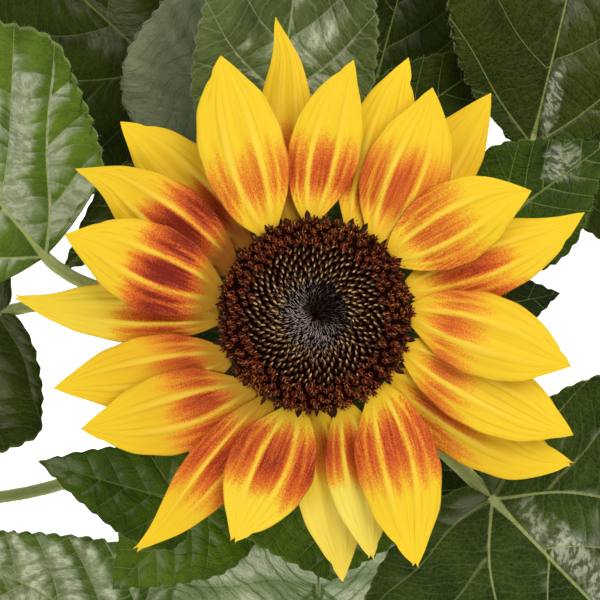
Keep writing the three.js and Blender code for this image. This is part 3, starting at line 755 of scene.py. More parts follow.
def new_finish(label):
    """A material with its nodes, and its surface shader."""
    finish = bpy.data.materials.new(label)
    finish.use_nodes = True
    tree = finish.node_tree
    return finish, tree, tree.nodes["Principled BSDF"]


def bump(surface, height, distance, strength):
    """Fine relief in a finish, a distance in millimetres high."""
    entries = {"Strength": strength, "Distance": distance * MM, "Height": height}
    put(surface.inputs["Normal"], node_field(height.tree, "Bump", entries, "Normal"))


def dress(surface, colour, roughness, specular):
    """Gives a surface its colour, roughness and specular level."""
    put(surface.inputs["Base Color"], colour)
    put(surface.inputs["Roughness"], roughness)
    surface.inputs["Specular IOR Level"].default_value = specular


def ray_finish():
    """Yellow ray with a stippled red flame, pale ridges and fine long veins, painted light and shade on its
    yellow, and partly painted shade on its claw and edge
    """
    bloom = bpy.context.scene.sunflower_bloom
    finish, tree, surface = new_finish("Two-coloured ray")
    across, along, under = note(tree, "ray_share").parts()
    x, y, seed = note(tree, "ray_place").parts()
    flame_end, warmth, gold_shade_and_light = note(tree, "ray_tint").parts()
    place = vector(x, y, seed * 13.0)
    streaks = noise(vector(x, y * 0.04, seed * 7.0), 0.6, 3.0, 0.65)
    broad_streaks = noise(vector(x, y * 0.07, seed * 3.0), 2.4, 1.0)
    grain = noise(place, 0.34, 2.0, 0.75)
    aside = across.size()
    ridge = aside.near(RIDGE_PLACE, 0.15 - along * 0.07) * (1.0 - along.rises(0.45, 0.9))
    ridge = ridge * (0.35 + broad_streaks * 0.9)
    outer_ridge = aside.near(0.7, 0.1) * (1.0 - along.rises(0.3, 0.6)) * 0.25
    reach = along + (streaks - 0.5) * 0.3 + (broad_streaks - 0.5) * 0.26
    flame = along.rises(0.0, 0.27) * (1.0 - reach.rises(flame_end - 0.3, flame_end + 0.08))
    in_flame = flame.rises(0.0, 0.35)
    centre = 1.0 - aside.rises(0.22, 0.36)
    margin = aside.rises(0.4, 0.62)
    heart = along.near(flame_end * 0.66, 0.34) * (centre + margin * 0.75).held()
    heat = flame * (0.33 + warmth * 0.32 + (centre + margin).held() * 0.16) + heart * warmth * in_flame * 0.4
    heat = heat + in_flame * ((streaks - 0.5) + (grain - 0.5) * 1.1)
    heat = heat - (ridge * 0.45 + outer_ridge) * in_flame
    lines = 1.0 - (across + (broad_streaks - 0.5) * 0.12).line(0.23).rises(0.0, 0.05)
    lines = lines * broad_streaks.rises(0.35, 0.7)
    claw = 1.0 - (along + (streaks - 0.5) * 0.12).rises(0.08, 0.22)
    upper = painted(
        bloom.ray_yellow,
        # painted shade: a more golden yellow, deepest at the foot, partly the ray's own gold
        (gold_shade_and_light.held() * (0.4 + (1.0 - along) * 0.6), (0.76, 0.31, 0.005)),
        # painted light: a pale yellow on the rays that have a value below 0
        ((gold_shade_and_light * -1.0).held() * along.rises(0.3, 0.65), (1.0, 0.84, 0.17)),
        (along.rises(0.55, 1.0) * (0.5 + gold_shade_and_light * 0.4).held(), (0.95, 0.64, 0.02)),
        (ridge.held() * 0.6, (0.97, 0.7, 0.09)),
        ((1.0 - along.rises(0.0, 0.16)) * 0.7, (0.86, 0.47, 0.015)),
        (lines * along.rises(0.2, 0.6) * (1.0 - along.rises(0.8, 1.0)) * 0.3, (0.42, 0.26, 0.01)),
        (heat.rises(0.06, 0.4), (0.84, 0.33, 0.02)),
        (heat.rises(0.3, 0.7), bloom.ray_red),
        (heat.rises(0.62, 1.1), bloom.ray_maroon),
        # a thin brown-red line along the margin of the lower half: partly the ray's own edge colour, partly
        # painted shade where the rays overlap
        (aside.rises(0.955, 1.0) * (1.0 - along.rises(0.5, 0.9)) * 0.5, (0.35, 0.09, 0.01)),
        # the claw's brown: partly a real stain, partly painted shade cast by the rim florets
        (note(tree, "ray_stain", "Fac") * claw * 0.9, (0.2, 0.035, 0.003)),
    )
    colour = painted(upper, (under, blended(streaks, (0.62, 0.44, 0.05), (0.72, 0.52, 0.08))))
    dress(surface, colour, 0.5 + streaks * 0.12, 0.14)
    bump(surface, streaks * 0.7 + noise(place, 0.35, 1.0) * 0.35 + lines * -0.25, 0.16, 0.7)
    return finish


def leaf_finish(kind, length):
    """Green blade with pale veins, a fine net, painted shade in its hollows and on its sides that face away,
    and a painted silver sheen
    """
    dark, light, vein, silver, roughness, coat, ribs, parting = LEAF_FINISHES[kind]
    finish, tree, surface = new_finish(f"Leaf {kind} {length}")
    place = note(tree, "blade_place")
    x, y, share = place.parts()
    aside = share.size()
    under = note(tree, "blade_under", "Fac")
    spot = object_place(tree)
    values = {"Place": place, "Net": note(tree, "blade_net"), "Length": float(length),
              "Spacing": float(VEIN_SPACING * length), "Ribs": ribs}
    veins = effect(tree, "Leaf veins", values)
    tone = effect(tree, "Living mottle", {"Place": spot})
    # painted light and shade: the green is painted lighter where the blade faces the sheen way and darker
    # where it faces away
    lit = (facing(tree, PAINTED_SHEEN_WAY) - 0.87) * (1.0 - aside.rises(0.85, 0.97)) * 1.4
    # painted shade: the green is lighter on the swellings of the quilting and darker in its hollows
    swell = veins["Quilt"] * 0.2 + veins["Pillows"] * 0.15 + veins["Cushions"] * 0.1
    wrinkles = veins["Wrinkles"].rises(0.4, 0.58)
    # painted sheen: silver patches are painted where the blade faces the sheen way, and on one side of each
    # panel
    lit_side = noise(spot, 21.0, 2.0, 0.6) + lit + veins["Sheen side"] * 0.34 + (silver * 0.14 - 0.09)
    sheen_patches = (lit_side - aside.rises(0.45, 0.95) * 0.26).rises(0.46, 0.7)
    sheen_streaks = 0.34 + wrinkles * 0.42 + veins["Pillows"] * 0.2 + veins["Cushions"] * 0.1
    panels = veins["Quilt"] * (0.6 + veins["Pillows"] * 0.4) + (noise(spot, 4.0) - 0.5) * 1.2
    panels = panels.rises(0.3, 0.85)
    # the painted sheen, streaked by the wrinkles and parted by the fine veins
    painted_sheen = sheen_patches * sheen_streaks * (0.18 + silver * 0.75) * (1.0 - parting + panels * parting)
    # painted highlight: a silver spot of painted sheen on this blade
    if kind in SHEEN_SPOTS:
        middle, shift, long, wide = SHEEN_SPOTS[kind]
        along, across = (x - middle) * (1.0 / long), (y - shift) * (1.0 / wide)
        uneven = (noise(spot, 4.0, 3.0) - 0.5) * 2.2
        fold = (1.0 - (along * along + across * across) + uneven).rises(0.0, 0.9)
        painted_sheen = painted_sheen + fold * (0.1 + wrinkles * 0.65)
    # colour of the painted sheen
    sheen = (0.54 + parting * 0.32, 0.56 + parting * 0.33, 0.4 + parting * 0.2)
    ribbed = (veins["Side veins"] * 0.75 + veins["Midrib"]).held()
    upper = painted(
        dark,
        ((tone["Broad"] * 0.45 + swell + lit * 0.9 + tone["Fine"] * 0.12).held(), light),
        (painted_sheen.held() * 0.9, sheen),
        (veins["Net"] * 0.07 + veins["Ladder"] * (0.07 + parting * 0.45), vein),
        (ribbed * 0.88, vein),
        (aside.rises(0.975, 1.0) * 0.5, vein),
    )
    back = painted(
        (0.09, 0.15, 0.05),
        (tone["Fine"], (0.14, 0.21, 0.08)),
        (ribbed * 0.8 + veins["Ladder"] * 0.2, (0.3, 0.38, 0.16)),
    )
    dulled = roughness + tone["Fine"] * 0.08 + under * 0.2 - sheen_patches * 0.05
    dress(surface, blended(under, upper, back), dulled, 0.06)
    surface.inputs["Coat Weight"].default_value = coat
    surface.inputs["Coat Roughness"].default_value = 0.22
    relief = wrinkles * 0.6 + veins["Cushions"] * 0.3 - ribbed * 0.6 - veins["Ladder"] * 0.45
    bump(surface, relief, 0.45, 0.9)
    return finish


def stem_finish():
    """Pale green skin with fine streaks, for the stem and the stalks"""
    finish, tree, surface = new_finish("Stem skin")
    spot = object_place(tree)
    tone = effect(tree, "Living mottle", {"Place": spot})
    streaks = effect(tree, "Skin streaks", {"Place": spot})["Streaks"]
    _, _, height = spot.parts()
    skin = painted(
        bpy.context.scene.sunflower_stem.green,
        (streaks * 0.45, (0.5, 0.53, 0.2)),
        (tone["Broad"] * 0.35, (0.14, 0.2, 0.04)),
        ((1.0 - height.rises(0.0, 40.0)) * 0.6, (0.17, 0.13, 0.05)),
        # painted shade: darker brown in the groove along the top of each stalk
        (note(tree, "stalk_groove", "Fac") * (0.15 + streaks * 0.3), (0.17, 0.1, 0.04)),
    )
    dress(surface, skin, 0.5 + tone["Fine"] * 0.2, 0.4)
    bump(surface, streaks * 0.6 + tone["Fine"] * 0.4, 0.3, 0.7)
    return finish


def cup_finish():
    """Green of the cup and its bracts"""
    finish, tree, surface = new_finish("Cup green")
    spot = object_place(tree)
    tone = effect(tree, "Living mottle", {"Place": spot})
    _, _, height = spot.parts()
    rim = (height + tone["Fine"] * 2.0).rises(BLOOM_HEIGHT - 9.5, BLOOM_HEIGHT - 6.5)
    skin = painted(
        (0.035, 0.085, 0.012),
        (tone["Broad"], (0.1, 0.19, 0.035)),
        (noise(spot, 0.9).rises(0.45, 0.7) * 0.4, (0.2, 0.3, 0.1)),
        (rim * 0.9, (0.022, 0.01, 0.004)),
    )
    dress(surface, skin, 0.5 + tone["Fine"] * 0.15, 0.25)
    bump(surface, tone["Fine"] + noise(spot, 0.7), 0.3, 0.6)
    return finish


def hair_finish():
    """Pale, half clear hairs"""
    finish, tree, surface = new_finish("Stiff hairs")
    tone = noise(object_place(tree), 3.0, 1.0)
    dress(surface, blended(tone, (0.42, 0.47, 0.3), (0.66, 0.69, 0.52)), 0.4 + tone * 0.2, 0.5)
    return finish


def floret_finish(label, foot, middle, tip, roughness, low=0.35, high=0.75, depth=0.8):
    """Disc floret that changes colour from its foot to its tip, each one a little lighter or darker"""
    finish, tree, surface = new_finish(label)
    share = note(tree, "floret_share", "Fac")
    tone = note(tree, "floret_tone", "Fac")
    grain = noise(object_place(tree), 0.35)
    colour = painted(
        foot,
        (share.rises(0.0, low), middle),
        ((share + (grain - 0.5) * 0.2).rises(low, high), tip),
        ((depth - tone * depth).held(), (0.012, 0.003, 0.002)),
    )
    dress(surface, colour, roughness + grain * 0.15, 0.12)
    bump(surface, grain, 0.12, 0.6)
    return finish


# Shapes of the plant


def stem_middle(height):
    """Middle of the stem at heights above the ground."""
    height = np.asarray(height, float)
    share = height / STEM_TOP
    lean = smooth(0, 1, share)
    wander = STEM_WANDER * np.sin(math.pi * share) * np.sin(math.pi * STEM_SWINGS * share)
    x = BLOOM_OFFSET[0] * lean + wander
    return stacked(x, BLOOM_OFFSET[1] * lean - wander, height)


def leaf_row(number):
    """A leaf's table row by name of its fields."""
    return dict(zip(LEAF_FIELDS, LEAVES[number - 1]), number=number)


def leaf_axes(leaf):
    """Foot, forward, left and up of a blade's own plane."""
    heading, pitch = math.radians(leaf["heading"]), math.radians(leaf["pitch"])
    ahead = np.array([math.cos(heading) * math.cos(pitch), math.sin(heading) * math.cos(pitch),
                      math.sin(pitch)])
    left = np.array([-math.sin(heading), math.cos(heading), 0.0])
    return on_bearing(leaf["out"], leaf["reach"], -leaf["drop"]), ahead, left, np.cross(ahead, left)


def leaf_half_margin(leaf, teeth=None):
    """Half outline of a blade from its notch to its tip, with fine teeth if settings are given."""
    length, width = leaf["length"], leaf["width"]
    rows = [((x * leaf["lobe"] if x < 0 else x) * length, y * width) for x, y in LEAF_FORMS[leaf["form"]]]
    rough = even_curve(rows, 60)
    whole = np.linalg.norm(np.diff(rough, axis=0), axis=1).sum()
    count = int(np.clip(whole / MARGIN_STEP, *MARGIN_POINTS))
    half = even_curve(rows, count)
    if teeth is None:
        return half
    tangent = np.gradient(half, axis=0)
    away = unit(stacked(-tangent[:, 1], tangent[:, 0]))
    if (away * half).sum() < 0:
        away = -away
    walked = np.linspace(0, whole, count)
    pitch = teeth.tooth_pitch / MM
    phase = (walked + 1.1 * np.sin(walked * 0.13 + leaf["number"])) / pitch
    saw = np.abs((phase % 1) - 0.28) * 1.6
    depth = teeth.tooth / MM * min(1, leaf["width"] / TOOTHED_WIDTH)
    calm = smooth(0.03, 0.12, walked / whole) * (1 - smooth(0.93, 1, walked / whole))
    return half + away * ((0.35 - saw) * depth * calm)[:, None]


def vein_net(leaf, x, y):
    """Counts, at a point of a blade, of side veins, of rungs and of the branches behind the first side vein.

    Each whole number is a vein, a rung or a branch.
    """
    length, number = leaf["length"], leaf["number"]
    side = np.abs(y)
    stray = np.sin(x * 0.11 + 1.7 + number) + np.sin(side * 0.17 + 0.5) + 1.5 * np.sign(y)
    lead = (x - VEIN_SLANT * side - VEIN_BOW * side ** 2 / length) / (VEIN_SPACING * length)
    lead = lead + VEIN_WANDER * stray * smooth(0, 0.3, np.hypot(x, y) / length)
    drift = 1.3 * np.sin(x * 0.23 + number) + 1.1 * np.sin(side * 0.31 + 1.7 * number)
    drift = drift + 1.2 * np.sin(2.4 * lead)
    rung = (RUNG_SLANT[0] * x + RUNG_SLANT[1] * side + drift) / RUNG_PITCH
    back = side / (VEIN_SPACING * length * BACK_SPACING) + lead * 0.9 / BACK_SPACING
    return lead, rung, back


def blade_height(leaf, x, y, settings):
    """Height of a blade's upper side over the plane of its foot."""
    length = leaf["length"]
    number = leaf["number"]
    half = leaf_half_margin(leaf)
    margin_angle = np.arctan2(half[:, 1], half[:, 0])
    order = np.argsort(margin_angle)
    angle = np.arctan2(y, x)
    reach = np.hypot(x, y)
    limit = np.interp(np.abs(angle), margin_angle[order], np.hypot(*half.T)[order])
    share = np.clip(reach / np.maximum(limit, 1), 0, 1)
    fold = LEAF_FOLD * (np.hypot(y, LEAF_FOLD_ROUND) - LEAF_FOLD_ROUND)
    droop = LEAF_DROOP * np.maximum(x, 0) ** 2 / length
    calm = np.minimum(1, reach / (LEAF_CALM * length))
    wave = LEAF_RIPPLE * length * (share * calm) ** 2
    body = fold - droop + wave * np.sin(LEAF_WAVES * angle + number)
    body += 0.008 * length * (share * calm) ** 3 * np.sin(9.3 * angle + 2.1 * number)
    side = np.abs(y)
    lead, rung, back = vein_net(leaf, x, y)
    small = min(1, length / RELIEF_LENGTH)
    inner = smooth(0.02, 0.2, side / leaf["width"]) * (1 - smooth(0.86, 1, share))
    inner = inner * smooth(0, 0.1, reach / length)
    swell = np.where(lead > 0, np.sin(math.pi * (lead % 1)) ** 1.2,
                     0.7 * np.sin(math.pi * (back % 1)) ** 1.2 * smooth(0, 0.3, -lead))
    pillow = np.sin(math.pi * (rung % 1)) ** 0.8
    lumps = ripple_noise(stacked(x, y).reshape(-1, 2), 40 + number, 11).reshape(x.shape) * 0.3
    body += inner * small * (settings.quilt / MM * (swell - 0.5) * (0.75 + lumps) + 0.35 * lumps)
    body += inner * settings.pillow / MM * (pillow - 0.5) * (0.6 + lumps) * (0.35 + 0.65 * swell)
    midrib = np.exp(-(side / 1.15) ** 2) * (1 - 0.7 * x / length)
    return body - 0.55 * midrib * (x > -1)


def blade_piece(number):
    """One leaf blade, quilted between its veins, toothed along its margin and ribbed below"""
    leaf = leaf_row(number)
    settings = bpy.context.scene.sunflower_leaves
    length = leaf["length"]
    toothed = leaf_half_margin(leaf, settings)
    half = leaf_half_margin(leaf)
    teeth = toothed - half
    xe, ye = half[:, 0], np.maximum(half[:, 1], 0)
    lead = xe - VEIN_SLANT * ye - VEIN_BOW * ye ** 2 / length
    root = np.minimum(np.maximum.accumulate(np.maximum(lead, 0)), length)
    steps = int(np.clip(leaf["width"] / 2 / CROSS_STEP, *CROSS_POINTS))
    share = np.linspace(0, 1, steps + 1)
    share = share * (0.82 + 0.18 * share)
    bent = VEIN_SLANT * ye[:, None] * share + VEIN_BOW * (ye[:, None] * share) ** 2 / length
    x_half = root[:, None] + (lead - root)[:, None] * share + bent
    outermost = smooth(0.8, 1, share)
    x_half = x_half + teeth[:, :1] * outermost
    y_half = np.maximum(ye[:, None] * share + teeth[:, 1:] * outermost, 0)
    x = np.concatenate([x_half[:, :0:-1], x_half], axis=1)
    y = np.concatenate([-y_half[:, :0:-1], y_half], axis=1)
    flat_share = np.broadcast_to(np.concatenate([share[:0:-1], share]), x.shape)
    z = blade_height(leaf, x, y, settings)
    side = np.abs(y)
    lead_at, rung_at, back_at = vein_net(leaf, x, y)
    gap = np.abs((lead_at + 0.5) % 1 - 0.5) * VEIN_SPACING * length
    rib = 1.3 * np.exp(-(side / 1.5) ** 2) * (1 - 0.75 * x / length) * (x > -1)
    rib = rib + 0.55 * np.exp(-(gap / 0.9) ** 2) * (1 - smooth(0.2, 0.95, flat_share)) * (lead_at > -0.08)
    thick = settings.thickness / MM * (1 - 0.55 * flat_share ** 3)
    foot, ahead, left, up = leaf_axes(leaf)
    flat = foot + x[..., None] * ahead + y[..., None] * left
    top = flat + z[..., None] * up
    under = top - (thick + rib * min(1, length / RIBBED_LENGTH))[..., None] * up
    top[-1], under[-1] = top[-1, 0], under[-1, 0]
    points, faces = plate_mesh(top, under)
    place = stacked(x, y, flat_share).reshape(-1, 3)
    net = stacked(lead_at, rung_at, back_at).reshape(-1, 3)
    notes = {"blade_place": np.vstack([place, place]), "blade_net": np.vstack([net, net]),
             "blade_under": np.repeat([0.0, 1.0], x.size)}
    finish = leaf_finish(leaf["finish"], length)
    new_piece(f"blade_{number:02d}", (points, faces), finish, (f"leaf_{number:02d}",), notes, True)


def blade_hairs(number):
    """Roots and directions of the fine hairs along a blade's margin and veins."""
    leaf = leaf_row(number)
    settings = bpy.context.scene.sunflower_leaves
    length = leaf["length"]
    spray = np.random.default_rng(900 + number)
    foot, ahead, left, up = leaf_axes(leaf)
    dense = even_curve(leaf_half_margin(leaf, settings), max(70, int(length * 2.3)))
    away = unit(stacked(np.gradient(dense[:, 0]), -np.gradient(dense[:, 1])))
    away = away * np.sign((away * dense).sum(axis=1, keepdims=True))
    roots, ways = [], []
    for sign in (1, -1):
        at = dense * [1, sign] + spray.normal(0, 0.12, dense.shape)
        z = blade_height(leaf, at[:, 0], at[:, 1], settings)
        out = away * [1, sign] + spray.normal(0, 0.35, dense.shape)
        roots.append(foot + at[:, :1] * ahead + at[:, 1:] * left + z[:, None] * up)
        ways.append(out[:, :1] * ahead + out[:, 1:] * left + spray.uniform(-0.2, 0.5, (len(at), 1)) * up)
    return np.vstack(roots), np.vstack(ways)


def stalk_path(number):
    """Middle line and radii of a leaf's stalk, from inside the stem to the foot of its blade."""
    leaf = leaf_row(number)
    length = leaf["length"]
    foot_radius = STALK_RADIUS + STALK_RADIUS_GAIN * length
    tip_radius = foot_radius * STALK_TAPER
    foot, ahead, _, up = leaf_axes(leaf)
    end = foot + ahead * 3 - up * (0.6 * tip_radius + 0.4)
    start = stem_middle(leaf["root"])
    across = np.array([end[0] - start[0], end[1] - start[1], 0])
    span = np.linalg.norm(across[:2])
    swing = math.radians(leaf["swing"])
    leaving = STALK_RISE_SHARE * np.array([across[0] * math.cos(swing) - across[1] * math.sin(swing),
                                           across[0] * math.sin(swing) + across[1] * math.cos(swing), 0])
    leaving[2] = STALK_CLIMB_SHARE * (end[2] - start[2])
    before_end = end - ahead * STALK_RISE_SHARE * span
    t = np.linspace(0, 1, 200)[:, None]
    path = (1 - t) ** 3 * start + 3 * t * (1 - t) ** 2 * (start + leaving)
    path = path + 3 * t * t * (1 - t) * before_end + t ** 3 * end
    share = np.linspace(0, 1, len(path))
    radius = foot_radius + (tip_radius - foot_radius) * share
    radius = radius * (1 + 0.28 * np.exp(-share / 0.05)) * (1 - 0.25 * smooth(0.93, 1, share))
    return path, radius


def stalk_rings(number):
    """Rings of a stalk with a groove along its top, the outward directions on them and the painted shade in
    the groove.
    """
    count, sides = STALK_GRID
    path, radius = stalk_path(number)
    walked = walked_along(path)
    even = np.linspace(0, walked[-1], count)
    middle = np.stack([np.interp(even, walked, path[:, k]) for k in range(3)], axis=1)
    reach = np.interp(even, walked, radius)
    tangent = unit(np.gradient(middle, axis=0))
    side = unit(np.cross(tangent, [0, 0, 1.0]))
    upward = np.cross(side, tangent)
    angle = circle(sides)
    from_top = np.abs((angle - math.pi / 2 + math.pi) % TURN - math.pi)
    groove = 1 - 0.3 * np.exp(-(from_top / 0.42) ** 2) + 0.03 * np.cos(angle * 7)
    girth = reach[:, None] * groove * (1 + 0.02 * np.sin(even[:, None] * 0.9 + angle * 3))
    ring = side[:, None] * np.cos(angle)[:, None] + upward[:, None] * np.sin(angle)[:, None]
    shade = np.append(np.tile(np.exp(-(from_top / 0.3) ** 2), count), [0, 0])
    return middle[:, None] + ring * girth[..., None], ring, shade


def stem_rings():
    """Rings of the stem with its ribs, swellings and flared foot, and the outward directions on them."""
    count, sides = STEM_GRID
    ribs = bpy.context.scene.sunflower_stem.ribs
    height = np.linspace(0, STEM_TOP + 1.2, count)
    share = np.clip(height / STEM_TOP, 0, 1)
    radius = eased(STEM_RADII, share)
    swell, reach = STEM_SWELLING
    for number in LEAF_NUMBERS:
        radius = radius + swell * np.exp(-((height - leaf_row(number)["root"]) / reach) ** 2)
    angle = circle(sides)
    twist = angle + 0.004 * height[:, None]
    flare = 0.35 + 0.9 * np.exp(-height[:, None] / 16)
    relief = 0.26 * np.cos(twist * ribs) * flare
    relief = relief + 0.5 * np.exp(-height[:, None] / 10) * np.cos(5 * angle)
    around = stacked(np.cos(angle), np.sin(angle))
    spots = stacked(*around.T * 9, height[:, None] * 0.4).reshape(-1, 3)
    relief = relief + 0.16 * ripple_noise(spots, 5, 5).reshape(relief.shape)
    girth = radius[:, None] - 0.25 + relief
    middle = stem_middle(height)
    flat = around * girth[..., None]
    ring = np.concatenate([flat, np.zeros((*girth.shape, 1))], axis=-1)
    rings = middle[:, None] + ring
    rings[0, :, 2] = 0
    return rings, unit(ring)


def ray_surface(number):
    """Upper and under sides of a ray, with shares across and along it and its flat coordinates."""
    rows, columns = RAY_GRID
    foot, tip, reach, width, tier, roll, _, _, _, hook, taper, _ = RAYS[number - 1]
    bloom = bpy.context.scene.sunflower_bloom
    spray = np.random.default_rng(300 + number)
    height = RAY_LOWEST + tier * TIER_RISE
    start = on_bearing(foot, RIM_RADIUS + RAY_GAP, height)
    end = on_bearing(tip, reach, height)
    straight = end - start
    length = np.linalg.norm(straight)
    away = way_out(foot)
    bend = start + straight * (1 - RAY_LEAD) / 2 + away * RAY_LEAD * length / 2
    along = np.linspace(0, 1, rows)
    along = along - 0.015 * np.sin(TURN * along)
    t = along[:, None]
    line = (1 - t) ** 2 * start + 2 * t * (1 - t) * bend + t * t * end
    tangent = unit(2 * (1 - t) * (bend - start) + 2 * t * (end - bend))
    square = np.array([-away[1], away[0], 0])
    turned = np.minimum(1, along / RAY_TURN_SHARE)[:, None]
    across_way = stacked(-tangent[:, 1], tangent[:, 0], 0)
    left = square * (1 - turned) + across_way * turned
    line = line + across_way * (hook * length * smooth(0.72, 1.05, along) ** 1.5)[:, None]
    fullness = np.maximum(eased(RAY_FULL, along) * (1 - taper) + eased(RAY_SLIM, along) * taper, 0.012)
    if number in SPLIT_RAYS:
        fullness = np.maximum(fullness, SPLIT_WIDTH / width)
    half = fullness * width / 2
    tilt = math.tan(math.radians(LOWEST_TILT + tier * TIER_TILT))
    lean = math.tan(math.radians(roll)) * np.minimum(1, along / RAY_ROLL_SHARE)
    rise = length * (tilt * along - RAY_ARCH * along ** 2)
    across = np.linspace(-1, 1, columns)
    sag = RAY_CROWN * fullness[:, None] ** 2 * across ** 2
    ridge = bloom.ray_ridge / MM
    fade = smooth(0, 0.12, along) * (1 - 0.75 * smooth(0.5, 0.95, along))
    ridges = ridge * np.exp(-((np.abs(across) - RIDGE_PLACE) / 0.11) ** 2)
    trough = -0.8 * ridge * np.exp(-(across / 0.16) ** 2)
    pleats = 0.07 * np.cos(across * TURN * 3.1 + spray.uniform(0, TURN))
    for place in spray.uniform(-0.85, 0.85, RAY_CREASES):
        pleats = pleats - spray.uniform(0.04, 0.22) * np.exp(-((across - place) / 0.055) ** 2)
    shape = (ridges + trough + pleats) * fade[:, None] * np.sqrt(fullness)[:, None]
    waves = 0.55 * np.sin(along * spray.uniform(9, 14) + spray.uniform(0, TURN))[:, None]
    waves = waves * np.abs(across) ** 3 * np.sign(across) * (smooth(0.15, 0.4, along) * fullness)[:, None]
    curl = spray.uniform(-1.0, 1.8) * smooth(0.75, 1, along)[:, None] ** 2
    foot_lift = RAY_FOOT_LIFT + RAY_FOOT_STEP * (3 - tier)
    curl = curl + foot_lift * (1 - smooth(0, 0.22, along))[:, None]
    edge = 1 + 0.012 * np.sin(along * 31 + number)[:, None] * np.abs(across) ** 6
    nick = spray.uniform(0.0, 0.16) * np.exp(-((along - spray.uniform(0.84, 0.95)) / 0.022) ** 2)
    edge = edge - nick[:, None] * (across * (-1) ** number > 0) * across ** 4
    top = line[:, None] + left[:, None] * (across * half[:, None] * edge)[..., None]
    lift = rise[:, None] - sag + shape + waves + curl - lean[:, None] * across * half[:, None]
    top[..., 2] += lift
    if number in SPLIT_RAYS:
        drawn_in = 1 - np.abs(across) + 0.6 * np.maximum(across * SPLIT_RAYS[number], 0)
        drawn_in = SPLIT_DEPTH * smooth(0.93, 1, along)[:, None] * drawn_in
        top = top - tangent[:, None] * drawn_in[..., None]
    thick = bloom.ray_thickness / MM * (1 - 0.45 * np.abs(across) ** 4) * (1 - 0.4 * along[:, None] ** 2)
    under = top.copy()
    under[..., 2] -= thick
    x = across * half[:, None]
    return (top, under, *np.broadcast_arrays(across, along[:, None], x, (along * length)[:, None]))


def ray_piece(number, finish):
    """One ray, pointed and arched, with its two ridges"""
    top, under, across, along, x, y = ray_surface(number)
    shares, places = [], []
    for below in (0.0, 1.0):
        shares.append(stacked(across, along, below).reshape(-1, 3))
        places.append(stacked(x, y, float(number)).reshape(-1, 3))
    # how brown the claw is, partly a real stain and partly painted shade
    tint, claw_stain_and_shade = RAYS[number - 1][6:9], float(RAYS[number - 1][11])
    notes = {"ray_share": np.vstack(shares), "ray_place": np.vstack(places),
             "ray_tint": np.tile(tint, (2 * x.size, 1)), "ray_stain": np.full(2 * x.size, claw_stain_and_shade)}
    new_piece(f"petal_{number:02d}", plate_mesh(top, under), finish, (f"ray_{number:02d}",), notes)


def spiral_places(inner, outer):
    """Bearings and radii of a sunflower's spiral, its florets wider apart towards the rim."""
    radii, square = [], 0.0
    while square < outer ** 2:
        radii.append(math.sqrt(square))
        square += 0.27 + 0.6 * float(smooth(6, 15, radii[-1])) + 0.2 * float(smooth(16, 21, radii[-1]))
    radii = np.array(radii)
    bearings = np.degrees(np.arange(len(radii)) * math.radians(SPIRAL_STEP)) % 360
    kept = (radii >= inner) & (radii < outer)
    return bearings[kept], radii[kept]


def disc_frames(bearings, radii, sink, lean, swirl, seed, scatter_by):
    """Places on the floret bed and axes that lean outwards by a share and sideways by another."""
    spray = np.random.default_rng(seed)
    places = on_bearing(bearings, radii, eased(DISC_PROFILE, radii) - sink)
    out = unit(way_out(bearings))
    beside = stacked(-out[:, 1], out[:, 0], 0)
    up = np.array([0, 0, 1.0])
    axes = up + out * np.asarray(lean)[..., None] + beside * np.asarray(swirl)[..., None]
    axes = unit(axes + spray.normal(0, scatter_by, axes.shape))
    return places, axes, out


def spindle(radii, heights, sides, lobes=0.0):
    """Points and faces of a small closed spindle, and its share of height at each point."""
    angle = circle(sides)
    reach = np.array(radii)[:, None] * (1 + lobes * np.cos(5 * angle))
    rings = stacked(reach * np.cos(angle), reach * np.sin(angle), np.array(heights)[:, None])
    points, faces = limb_mesh(rings)
    return points, faces, (points[:, 2] - heights[0]) / (heights[-1] - heights[0])


def floret_piece(name, template, places, turns, sizes, tones, finish):
    """Makes a piece of many like florets from one: its points, faces and share of height at each point."""
    points, faces, share = template
    tones = np.repeat(np.clip(tones, 0, 1), len(share))
    notes = {"floret_share": np.tile(share, len(places)), "floret_tone": tones}
    new_piece(name, scattered(points, faces, places, turns, sizes), finish, (), notes)


def crown(tongue, count):
    """A ring of like tongues, spread evenly, as one template."""
    points, faces, share = tongue
    parts = []
    for i in range(count):
        angle = TURN * i / count
        spin = [[math.cos(angle), math.sin(angle), 0], [-math.sin(angle), math.cos(angle), 0], [0, 0, 1]]
        parts.append((points @ np.array(spin), faces))
    return (*joined_parts(parts), np.tile(share, count))


def curled_tongue(reach, rise, curl, width, steps):
    """A thin pointed tongue that leaves its foot outwards and curls back, as a closed plate."""
    t = np.linspace(0, 1, steps)
    turn = curl * t
    out = reach * np.sin(turn) / curl + 0.1
    up = rise * t + reach * (1 - np.cos(turn)) / curl
    half = width * (1 - t ** 1.6) / 2 + 0.03
    across = np.array([-1.0, 0.0, 1.0])
    top = stacked(out[:, None], half[:, None] * across, up[:, None] + 0.12 * np.abs(across))
    points, faces = plate_mesh(top, top - np.array([0, 0, 0.11]))
    return points, faces, np.tile(np.repeat(t, 3), 2)


# Operators, one for each piece or group of like pieces


